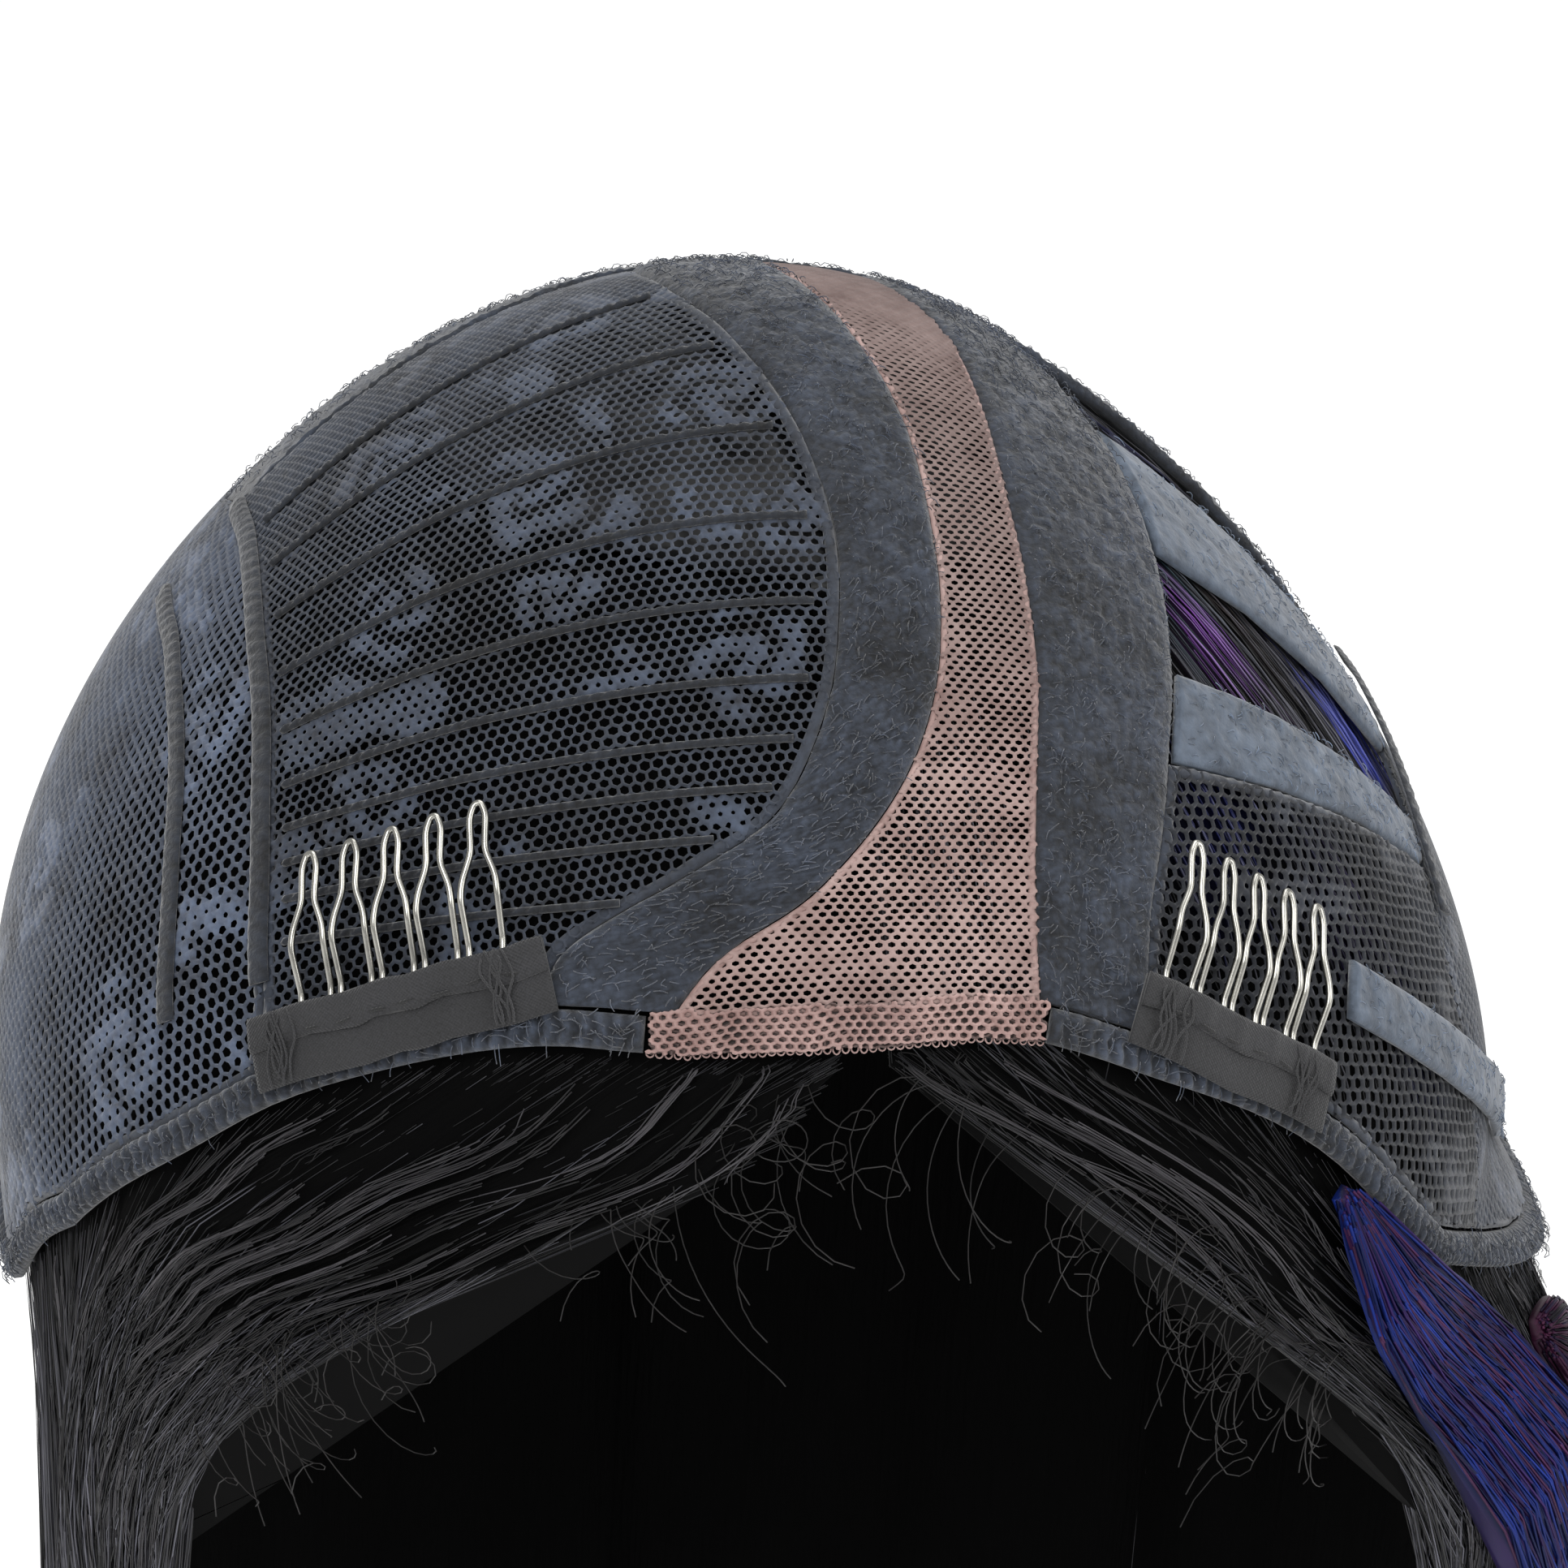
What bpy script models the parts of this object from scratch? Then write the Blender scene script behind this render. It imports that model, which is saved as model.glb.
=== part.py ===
"""Lace part wig with a net cap, turned inside out and held up by the head it is worn on.

The cap's panels lie on one head form: a dome above its widest level and a slightly tapered wall below it.
Places on the form are given in two ways. "around" is an azimuth from the front, positive to the right,
and a fall, which is 0 at the apex, 1 at the widest level and one more for each crown height below it.
"over" is an angle to the side of the middle plane and an angle over the head, 0 at the front, 90 at the
apex and 180 at the back. The origin is the inside of the apex, where the head carries the wig.
"""

import math

import bmesh
import bpy
import numpy as np
from mathutils import Vector

# Head form, to the inner side of the cap
HALF_WIDTH = 0.093
FRONT_DEPTH = 0.098
BACK_DEPTH = 0.104
CROWN_HEIGHT = 0.0975
FULLNESS_LEFT = 1.70
FULLNESS_RIGHT = 1.60
SQUARENESS = 2.15
FULLNESS_TURN = (-0.35, 0.55)
NECK_TAPER = 0.10
TAPER_DEPTH = 0.120

# How the right side stands out below the widest level: by how much, over which depth, and between which
# sideways shares of the way out
SPREAD_RIGHT = 0.018
SPREAD_LENGTH = 0.042
SPREAD_TURN = (0.58, 0.98)

# Cloth walls and the clearances between layers
NET_WALL = 0.0010
LACE_WALL = 0.0010
BAND_WALL = 0.0016
STRAP_WALL = 0.0015
RIM_WALL = 0.0020
TAPE_WALL = 0.0010
SEAM_GAP = 0.0007
LAYER_GAP = 0.0005
HAIR_GAP = 0.0011

# The least square share of a grid line, for borders that are drawn in along slanting lines
LEAST_SQUARE = 0.4

# Widths of the strips
RIM_WIDTH = 0.0040
HEM_WIDTH = 0.0035
WEFT_WIDTH = 0.0022
SEAM_WIDTH = 0.0035
STRAP_C_WIDTH = 0.0070
RIBBON_WIDTH = 0.0080

# Comb clips
WIRE_RADIUS = 0.0004
TOOTH_LENGTH = 0.0200
TEETH = 5
TIP_RISE = 0.0016
TOOTH_EASE = 0.4

# Hair
HAIR_WALL = 0.0040
HAIR_HEM_FALL = 2.90
HAIR_CROWN_FALL = 0.30
HAIR_UNDER_RIM = 0.0018
LOCKS_PER_SECTION = 3
LOCK_DEPTH = 0.0030
LOCK_TIP = 0.0120
FLARE_LEFT = 0.0050
FLARE_RIGHT = 0.0060
FLARE_LENGTH = 0.0700
SECTION_GAP = 0.0007
UPPER_CROWDING = 0.8
LOWER_CROWDING = 1.5
SETTLING_ROUNDS = 12
CROWN_RINGS = 3
BALL_RINGS = 20
BALL_SEGMENTS = 28
DYED_LOCK_WALL = 0.0030
DYED_LOCK_WIDTH = 0.0200
DYED_LOCK_END = 0.12
DYED_LOCK_SWELL = 0.7

# Stretches of the panels' grids, and of the fine lines that they are spaced from
CROWN_STRETCHES = 16
WINDOW_STRETCHES = 5
SIDE_STRETCHES = 12
LACE_ACROSS = 4
BAND_ACROSS = 2
NET_ACROSS = 6
SIDE_ACROSS = 9
TAPE_STRETCHES = 10
RIM_STRETCHES = 30
LOCK_ACROSS = 3
FINE_STRETCHES = 48

# Angles of the seams: to the side, and over the head
SEAM_LEFT_SIDE = -43.0
SEAM_LEFT_2_SIDE = -52.0
SEAM_RIGHT_SIDE = 60.0
CROWN_BAND_FRONT = 108.0
CROWN_BAND_BACK = 120.0
STRAP_A_OVER = (71.5, 88.0)
STRAP_B_OVER = (49.5, 58.5)
SEAM_LEFT_ANGLES = (32.0, 60.0, 85.0, CROWN_BAND_FRONT)
SEAM_RIGHT_ANGLES = (15.0, 35.0, STRAP_B_OVER[0], 70.0, 90.0, CROWN_BAND_FRONT)
SEAM_BACK_ANGLES = (123.0, 150.0)
SEAM_BACK_FALL = 1.60

# Where seams meet the rim, by azimuth
LACE_RIM = (-16.5, 14.0)
BAND_RIM = (-24.0, 22.0)
SEAM_RIM = (-47.0, 60.0)
NAPE_RIM = 118.0

# Rim of the cap: azimuth, fall
RIM = (
    (-180, 1.70), (-165, 1.695), (-140, 1.58), (-120, 1.34), (-106, 1.24), (-92, 1.29), (-81, 1.26),
    (-67, 1.05), (-58, 0.94), (-51, 0.87), (-45, 0.81), (-36, 0.75), (-24, 0.705), (-16.5, 0.70), (0, 0.69),
    (14, 0.70),
    (22, 0.74), (38, 0.86), (44, 0.94), (58, 1.09), (70, 1.20), (84, 1.29), (106, 1.24), (120, 1.34),
    (140, 1.58), (165, 1.695), (180, 1.70),
)

# Edges on the crown: angle to the side, angle over the head
LACE_LEFT = (
    (-10, 34), (-3, 38.5), (3, 45), (6.5, 52), (8, 60), (8, 69), (7, 78), (4.5, 87), (2, 97), (1, 108),
)
LACE_RIGHT = (
    (13, 38), (14, 47), (15, 55), (15, 65), (14.5, 72), (14, 81), (13, 91), (10.5, 100), (9, 108),
)
BAND_LEFT = (
    (-20.5, 35), (-11, 40.5), (-5, 44.5), (-1, 52), (0.5, 59), (1, 66), (0, 73), (-1.5, 79), (-4, 86),
    (-7, 97), (-8, 108),
)
BAND_RIGHT_LOW = ((22, 36), (24, 43), (25.5, 49.5))
BAND_RIGHT_HIGH = ((26.5, 54), (27.5, 60), (28, 70), (27, 82), (24, 92), (20, 102), (18, 108))

# Weft rows on the left net, by their angle over the head
WEFT_ROWS = (38.5, 42.5, 46.0, 49.5, 54.0, 60.0, 67.0, 75.0, 84.0, 94.0)

# Lines laid on the cap: azimuth, fall
STRAP_C_LINE = ((44.5, 0.745), (54, 0.835), (64, 0.93), (74, 1.02), (82, 1.10))
RIBBON_LEFT_LINE = ((-46.0, 0.772), (-35.1, 0.706), (-24.5, 0.653))
RIBBON_RIGHT_LINE = ((22.0, 0.688), (29.3, 0.742), (37.0, 0.803))
LOCK_BLUE_LINE = ((37, 0.880), (41, 0.970), (46, 1.065), (52, 1.20), (57, 1.38), (61, 1.62), (63, 1.90))
LOCK_MAGENTA_LINE = ((66, 1.26), (73, 1.38), (78, 1.60), (80, 2.00))

# Comb clips: comb, ribbon, its line, bare ribbon before and after the comb, sideways lean of the teeth
COMB_CLIPS = (
    ("comb_left", "comb_ribbon_left", RIBBON_LEFT_LINE, (0.0048, 0.0049), 0.200),
    ("comb_right", "comb_ribbon_right", RIBBON_RIGHT_LINE, (0.0034, 0.0004), -0.230),
)

# Tapes over the upright seams: name, angle to the side, start and end over the head, wall under the tape
SEAM_TAPES = (
    ("seam_left_1", SEAM_LEFT_SIDE, 35.0, 106.0, NET_WALL),
    ("seam_left_2", SEAM_LEFT_2_SIDE, 32.0, 106.0, NET_WALL),
    ("seam_right", SEAM_RIGHT_SIDE, 42.0, 106.0, STRAP_WALL),
)

# Front edge of the hair: fall, azimuth on the left, azimuth on the right
PARTING = (
    (0.69, -0.4, 0.4), (0.72, -3, 4), (0.79, -10, 14), (0.84, -20, 20), (0.90, -28, 25), (0.95, -36, 28),
    (1.05, -44, 37), (1.25, -51, 47), (1.60, -55, 53), (2.90, -57, 56),
)

# One tooth of a comb: share of the pitch across, share of the tooth's length up
TOOTH = (
    (-0.36, 0.00), (-0.37, 0.24), (-0.40, 0.52), (-0.36, 0.60), (-0.15, 0.74), (-0.18, 0.93), (-0.07, 1.00),
    (0.07, 1.00), (0.18, 0.93), (0.15, 0.74), (0.36, 0.60), (0.40, 0.52), (0.37, 0.24), (0.36, 0.00),
)

# Hair sections: name, azimuth of the front edge or the column of PARTING, azimuth of the back edge, and
# stretches under the cap and below it, more of them where the form spreads
HAIR_SECTIONS = (
    ("hair_front_left", 1, -78.0, (4, 5)),
    ("hair_side_left", -78.0, -128.0, (5, 5)),
    ("hair_back_left", -128.0, -180.0, (5, 5)),
    ("hair_front_right", 2, 78.0, (6, 8)),
    ("hair_side_right", 78.0, 128.0, (9, 5)),
    ("hair_back_right", 128.0, 180.0, (8, 5)),
)

# Dyed locks: name, line, finish, gap over the hair
DYED_LOCKS = (
    ("lock_blue", LOCK_BLUE_LINE, "blue_hair", 0.0020),
    ("lock_magenta", LOCK_MAGENTA_LINE, "magenta_hair", 0.0006),
)

# Finishes: colour, roughness, metallic
FINISHES = {
    "net": ((0.030, 0.034, 0.042), 0.80, 0.0),
    "knit": ((0.036, 0.042, 0.050), 0.90, 0.0),
    "lace": ((0.420, 0.270, 0.215), 0.70, 0.0),
    "strap": ((0.092, 0.116, 0.138), 0.85, 0.0),
    "ribbon": ((0.040, 0.038, 0.038), 0.75, 0.0),
    "steel": ((0.620, 0.620, 0.630), 0.25, 1.0),
    "hair": ((0.010, 0.010, 0.012), 0.45, 0.0),
    "blue_hair": ((0.040, 0.070, 0.420), 0.45, 0.0),
    "magenta_hair": ((0.300, 0.030, 0.200), 0.45, 0.0),
}

SEAT_DEPTH = HAIR_GAP + HAIR_WALL
DOME_CENTRE = np.array([0.0, 0.0, SEAT_DEPTH - CROWN_HEIGHT])


def smooth(share):
    """Eased share: 0 at 0, 1 at 1, level at both ends."""
    share = np.clip(share, 0.0, 1.0)
    return share * share * (3.0 - 2.0 * share)


def between(value, start, end):
    """Eased share of the way from a start to an end."""
    return smooth((value - start) / (end - start))


def follow(at, table, column=1):
    """Value of a table's column at a place in its first column, on a smooth curve through the rows."""
    rows = np.array([(row[0], row[column]) for row in table], float)
    slopes = np.gradient(rows[:, 1], rows[:, 0])
    at = np.clip(np.asarray(at, float), rows[0, 0], rows[-1, 0])
    index = np.clip(np.searchsorted(rows[:, 0], at) - 1, 0, len(rows) - 2)
    span = rows[index + 1, 0] - rows[index, 0]
    share = (at - rows[index, 0]) / span
    bend_in = slopes[index] * span * share * (1.0 - share) ** 2
    bend_out = slopes[index + 1] * span * share**2 * (1.0 - share)
    ease = share * share * (3.0 - 2.0 * share)
    return rows[index, 1] * (1.0 - ease) + rows[index + 1, 1] * ease + bend_in - bend_out


def around(azimuth, fall):
    """Points on the form by azimuth and fall."""
    azimuth, fall = np.broadcast_arrays(np.asarray(azimuth, float), np.asarray(fall, float))
    turn = np.radians(azimuth)
    rise = np.radians(90.0 * np.clip(1.0 - fall, 0.0, 1.0))
    flat = np.cos(rise)
    height = np.sin(rise) - np.clip(fall - 1.0, 0.0, None)
    points = np.stack([np.sin(turn) * flat, -np.cos(turn) * flat, height], axis=-1)
    return on_form(points * CROWN_HEIGHT)


def over(side, angle):
    """Points on the form by the angle to the side and the angle over the head."""
    side, angle = np.broadcast_arrays(np.asarray(side, float), np.asarray(angle, float))
    side, angle = np.radians(side), np.radians(angle)
    points = np.stack([np.sin(side), -np.cos(side) * np.cos(angle), np.cos(side) * np.sin(angle)], axis=-1)
    return on_form(points * CROWN_HEIGHT)


def reach(points):
    """How far out points lie: 1 on the form, which is a rounded box in plan and a dome in height."""
    across, along, up = points[..., 0], points[..., 1], np.maximum(points[..., 2], 0.0)
    length = np.linalg.norm(points, axis=-1) + 1e-9
    to_right = between(across / length, *FULLNESS_TURN)
    depth = np.where(along < 0.0, FRONT_DEPTH, BACK_DEPTH)
    fullness = FULLNESS_LEFT + (FULLNESS_RIGHT - FULLNESS_LEFT) * to_right
    plan = np.abs(across / HALF_WIDTH) ** SQUARENESS + np.abs(along / depth) ** SQUARENESS
    return (plan ** (fullness / SQUARENESS) + (up / CROWN_HEIGHT) ** fullness) ** (1.0 / fullness)


def spread(points):
    """How far the form stands out at its right side, below the widest level."""
    sideways = points[..., 0] / (np.hypot(points[..., 0], points[..., 1]) + 1e-9)
    return SPREAD_RIGHT * between(sideways, *SPREAD_TURN) * smooth(-points[..., 2] / SPREAD_LENGTH)


def on_form(points, lift=0.0):
    """Points moved onto the form, or above it by a lift: radially on the dome, level on the wall below."""
    points = np.asarray(points, float)
    high = points[..., 2] >= 0.0
    level = points * np.array([1.0, 1.0, 0.0])
    outward = np.where(high[..., None], points, level)
    taper = np.where(high, 1.0, 1.0 - NECK_TAPER * smooth(-points[..., 2] / TAPER_DEPTH))
    placed = outward * (taper / np.maximum(reach(outward), 1e-9))[..., None]
    length = np.linalg.norm(placed, axis=-1, keepdims=True)
    placed = placed * (1.0 + (lift + spread(points))[..., None] / length)
    placed[..., 2] = np.where(high, placed[..., 2], points[..., 2])
    return placed


def line(points, count):
    """A smooth line through points on the form, with count even stretches."""
    points = np.asarray(points, float)
    before = np.vstack([2.0 * points[0] - points[1], points, 2.0 * points[-1] - points[-2]])
    share = np.linspace(0.0, 1.0, 12, endpoint=False)[:, None]
    stretches = []
    for index in range(len(points) - 1):
        start, near, far, end = before[index : index + 4]
        bend = 2.0 * start - 5.0 * near + 4.0 * far - end
        turn = 3.0 * near - start - 3.0 * far + end
        stretches.append(near + 0.5 * ((far - start) * share + bend * share**2 + turn * share**3))
    fine = np.vstack(stretches + [points[-1:]])
    return on_form(even(fine, count))


def even(points, count):
    """Points along a line at even distances."""
    steps = np.linalg.norm(np.diff(points, axis=0), axis=1)
    run = np.concatenate([[0.0], np.cumsum(steps)])
    wanted = np.linspace(0.0, run[-1], count + 1)
    return np.stack([np.interp(wanted, run, points[:, axis]) for axis in range(3)], axis=1)


def rim_line(start, end, count):
    """The rim of the cap between two azimuths."""
    azimuths = np.linspace(start, end, FINE_STRETCHES)
    return on_form(even(around(azimuths, follow(azimuths, RIM)), count))


def rim_point(azimuth):
    """The point of the rim at an azimuth."""
    return rim_line(azimuth, azimuth, 1)[0]


def over_line(rows, count, start=None, end=None):
    """A line through rows of angles, from and to other points where they are given."""
    points = [over(side, angle) for side, angle in rows]
    if start is not None:
        points.insert(0, start)
    if end is not None:
        points.append(end)
    return line(points, count)


def patch(start, end, first, last):
    """A grid that fills four border lines: start and end run across, first and last run along."""
    across = np.linspace(0.0, 1.0, len(start))[None, :, None]
    along = np.linspace(0.0, 1.0, len(first))[:, None, None]
    ruled_along = (1.0 - along) * start[None] + along * end[None]
    ruled_across = (1.0 - across) * first[:, None] + across * last[:, None]
    near = (1.0 - across) * start[0] + across * start[-1]
    far = (1.0 - across) * end[0] + across * end[-1]
    return ruled_along + ruled_across - (1.0 - along) * near - along * far


def to_side(centre):
    """Level directions on the form at the right of a line."""
    outward = centre * np.where(centre[:, 2:] >= 0.0, 1.0, np.array([1.0, 1.0, 0.0]))
    side = np.cross(np.gradient(centre, axis=0), outward)
    return side / np.linalg.norm(side, axis=1, keepdims=True)


def inset(grid, start=0.0, end=0.0, first=0.0, last=0.0):
    """The grid with its borders drawn in along its lines, by the given distances square to each border."""
    drawn = grid.copy()
    pulled = ((0, 1, start, 0), (-1, -2, end, 0), (0, 1, first, 1), (-1, -2, last, 1))
    for border, inner, distance, axis in pulled:
        rows = np.moveaxis(grid, axis, 0)
        toward = rows[inner] - rows[border]
        toward /= np.linalg.norm(toward, axis=1, keepdims=True)
        square = np.abs((toward * to_side(rows[border])).sum(axis=1, keepdims=True))
        np.moveaxis(drawn, axis, 0)[border] += toward * distance / np.maximum(square, LEAST_SQUARE)
    return drawn


def strip(centre, low, high, count=1):
    """A grid along a line on the form, count stretches wide, from low to high at its right side."""
    share = np.linspace(0.0, 1.0, count + 1)
    low = np.broadcast_to(low, len(centre))[:, None]
    high = np.broadcast_to(high, len(centre))[:, None]
    return centre[:, None] + to_side(centre)[:, None] * (low * (1.0 - share) + high * share)[..., None]


def finish(name):
    """The material of a finish, made once."""
    found = bpy.data.materials.get(name)
    if found:
        return found
    colour, roughness, metallic = FINISHES[name]
    made = bpy.data.materials.new(name)
    made.use_nodes = True
    shader = made.node_tree.nodes["Principled BSDF"]
    shader.inputs["Base Color"].default_value = (*colour, 1.0)
    shader.inputs["Roughness"].default_value = roughness
    shader.inputs["Metallic"].default_value = metallic
    made.diffuse_color = (*colour, 1.0)
    return made


def add(name, data, finish_name, collection):
    """A named object for a mesh or a curve, in the wig's collection."""
    data.materials.append(finish(finish_name))
    made = bpy.data.objects.new(name, data)
    collection.objects.link(made)
    return made


def cloth(name, grid, lift, wall, finish_name, collection, inward=False):
    """A wall on the form: a grid laid over its points, thickened outward, or inward for hair."""
    rows, columns = grid.shape[:2]
    lift = np.broadcast_to(lift, (rows, columns))
    points = on_form(grid, lift) + DOME_CENTRE
    shape = bmesh.new()
    bmesh.ops.create_grid(shape, x_segments=columns - 1, y_segments=rows - 1, size=1.0)
    for vertex in shape.verts:
        column = round((vertex.co.x + 1.0) / 2.0 * (columns - 1))
        row = round((vertex.co.y + 1.0) / 2.0 * (rows - 1))
        vertex.co = points[row, column]
    shape.normal_update()
    face = next(iter(shape.faces))
    if face.normal.dot(face.calc_center_median() - Vector(DOME_CENTRE)) < 0.0:
        bmesh.ops.reverse_faces(shape, faces=shape.faces)
    data = bpy.data.meshes.new(name)
    shape.to_mesh(data)
    shape.free()
    made = add(name, data, finish_name, collection)
    thicken(made, wall, -1.0 if inward else 1.0)
    return made


def thicken(made, wall, offset):
    """A Solidify modifier of a wall's thickness."""
    solidify = made.modifiers.new("wall", "SOLIDIFY")
    solidify.thickness = wall
    solidify.offset = offset


def make_lines():
    """The border lines that the cap's panels share, each with its number of stretches."""
    lace_left_foot, lace_right_foot = rim_point(LACE_RIM[0]), rim_point(LACE_RIM[1])
    band_left_foot, band_right_foot = rim_point(BAND_RIM[0]), rim_point(BAND_RIM[1])
    seam_left_foot, seam_right_foot = rim_point(SEAM_RIM[0]), rim_point(SEAM_RIM[1])
    left_rows = [(SEAM_LEFT_SIDE, angle) for angle in SEAM_LEFT_ANGLES]
    right_rows = [(SEAM_RIGHT_SIDE, angle) for angle in SEAM_RIGHT_ANGLES]
    low_rows = [row for row in right_rows if row[1] <= STRAP_B_OVER[0]]
    back = CROWN_BAND_BACK
    nape_left = over_line([(SEAM_LEFT_SIDE, back)], FINE_STRETCHES, end=rim_point(-NAPE_RIM))
    nape_right = over_line([(SEAM_RIGHT_SIDE, back)], FINE_STRETCHES, end=rim_point(NAPE_RIM))
    middle = [over(0.0, back), over(0.0, SEAM_BACK_ANGLES[1]), rim_point(180.0)]
    return {
        "lace_left": over_line(LACE_LEFT, CROWN_STRETCHES, start=lace_left_foot),
        "lace_right": over_line(LACE_RIGHT, CROWN_STRETCHES, start=lace_right_foot),
        "band_left": over_line(BAND_LEFT, CROWN_STRETCHES, start=band_left_foot),
        "band_right": over_line(BAND_RIGHT_LOW + BAND_RIGHT_HIGH, CROWN_STRETCHES, start=band_right_foot),
        "band_right_low": over_line(BAND_RIGHT_LOW, WINDOW_STRETCHES, start=band_right_foot),
        "seam_left": over_line(left_rows, CROWN_STRETCHES, start=seam_left_foot),
        "seam_right_low": over_line(low_rows, WINDOW_STRETCHES, start=seam_right_foot),
        "seam_right": over_line(right_rows, SIDE_STRETCHES, start=seam_right_foot),
        "nape_left": even(nape_left, SIDE_STRETCHES),
        "nape_right": even(nape_right, SIDE_STRETCHES),
        "centre_back": line(middle, SIDE_STRETCHES),
    }


def side_line(start, end, angle, count):
    """A line across the crown at one angle over the head."""
    return over_line([(side, angle) for side in np.linspace(start, end, 5)], count)


def make_part(lines, collection):
    """The lace strip, its hem and the knit bands beside and behind it."""
    half = SEAM_GAP / 2.0
    above_rim = RIM_WIDTH + SEAM_GAP
    front = CROWN_BAND_FRONT
    lace_top = (LACE_LEFT[-1][0], LACE_RIGHT[-1][0])
    band_top = (BAND_LEFT[-1][0], BAND_RIGHT_HIGH[-1][0])
    lace = patch(
        rim_line(*LACE_RIM, LACE_ACROSS),
        side_line(*lace_top, front, LACE_ACROSS),
        lines["lace_left"],
        lines["lace_right"],
    )
    lace = inset(lace, start=HEM_WIDTH + SEAM_GAP, end=half, first=half, last=half)
    cloth("lace_part", lace, 0.0, LACE_WALL, "lace", collection)
    clear = math.degrees(SEAM_GAP / 2.0 / FRONT_DEPTH)
    hem_line = rim_line(LACE_RIM[0] + clear, LACE_RIM[1] - clear, NET_ACROSS)
    cloth("lace_hem", strip(hem_line, 0.0, -HEM_WIDTH), 0.0, BAND_WALL, "lace", collection)
    left = patch(
        rim_line(BAND_RIM[0], LACE_RIM[0], BAND_ACROSS),
        side_line(band_top[0], lace_top[0], front, BAND_ACROSS),
        lines["band_left"],
        lines["lace_left"],
    )
    left = inset(left, start=above_rim, end=half, first=half, last=half)
    cloth("part_band_left", left, 0.0, BAND_WALL, "knit", collection)
    right = patch(
        rim_line(LACE_RIM[1], BAND_RIM[1], BAND_ACROSS),
        side_line(lace_top[1], band_top[1], front, BAND_ACROSS),
        lines["lace_right"],
        lines["band_right"],
    )
    right = inset(right, start=above_rim, end=half, first=half, last=half)
    cloth("part_band_right", right, 0.0, BAND_WALL, "knit", collection)
    across = patch(
        side_line(SEAM_LEFT_SIDE, SEAM_RIGHT_SIDE, front, SIDE_STRETCHES),
        side_line(SEAM_LEFT_SIDE, SEAM_RIGHT_SIDE, CROWN_BAND_BACK, SIDE_STRETCHES),
        over_line([(SEAM_LEFT_SIDE, front), (SEAM_LEFT_SIDE, CROWN_BAND_BACK)], BAND_ACROSS),
        over_line([(SEAM_RIGHT_SIDE, front), (SEAM_RIGHT_SIDE, CROWN_BAND_BACK)], BAND_ACROSS),
    )
    across = inset(across, start=half, end=half, first=half, last=half)
    cloth("crown_band", across, 0.0, BAND_WALL, "knit", collection)


def make_nets(lines, collection):
    """The six net panels of the cap."""
    half = SEAM_GAP / 2.0
    rim = RIM_WIDTH + SEAM_GAP
    front, back = CROWN_BAND_FRONT, CROWN_BAND_BACK
    crown_left = patch(
        rim_line(SEAM_RIM[0], BAND_RIM[0], NET_ACROSS),
        side_line(SEAM_LEFT_SIDE, BAND_LEFT[-1][0], front, NET_ACROSS),
        lines["seam_left"],
        lines["band_left"],
    )
    crown_right = patch(
        rim_line(BAND_RIM[1], SEAM_RIM[1], NET_ACROSS),
        side_line(BAND_RIGHT_LOW[-1][0], SEAM_RIGHT_SIDE, STRAP_B_OVER[0], NET_ACROSS),
        lines["band_right_low"],
        lines["seam_right_low"],
    )
    side_left = patch(
        over_line([(SEAM_LEFT_SIDE, front), (SEAM_LEFT_SIDE, back)], SIDE_ACROSS),
        rim_line(SEAM_RIM[0], -NAPE_RIM, SIDE_ACROSS),
        even(lines["seam_left"][::-1], SIDE_STRETCHES),
        lines["nape_left"],
    )
    side_right = patch(
        over_line([(SEAM_RIGHT_SIDE, front), (SEAM_RIGHT_SIDE, back)], SIDE_ACROSS),
        rim_line(SEAM_RIM[1], NAPE_RIM, SIDE_ACROSS),
        lines["seam_right"][::-1],
        lines["nape_right"],
    )
    back_left = patch(
        side_line(SEAM_LEFT_SIDE, 0.0, back, SIDE_ACROSS),
        rim_line(-NAPE_RIM, -180.0, SIDE_ACROSS),
        lines["nape_left"],
        lines["centre_back"],
    )
    back_right = patch(
        side_line(0.0, SEAM_RIGHT_SIDE, back, SIDE_ACROSS),
        rim_line(180.0, NAPE_RIM, SIDE_ACROSS),
        lines["centre_back"],
        lines["nape_right"],
    )
    panels = (
        ("crown_net_left", inset(crown_left, start=rim, end=half, first=half, last=half)),
        ("crown_net_right", inset(crown_right, start=rim, end=half, first=half, last=half)),
        ("side_net_left", inset(side_left, start=half, end=rim, first=half, last=half)),
        ("side_net_right", inset(side_right, start=half, end=rim, first=half, last=half)),
        ("back_net_left", inset(back_left, start=half, end=rim, first=half, last=half)),
        ("back_net_right", inset(back_right, start=half, end=rim, first=half, last=half)),
    )
    for name, grid in panels:
        cloth(name, grid, 0.0, NET_WALL, "net", collection)


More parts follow.
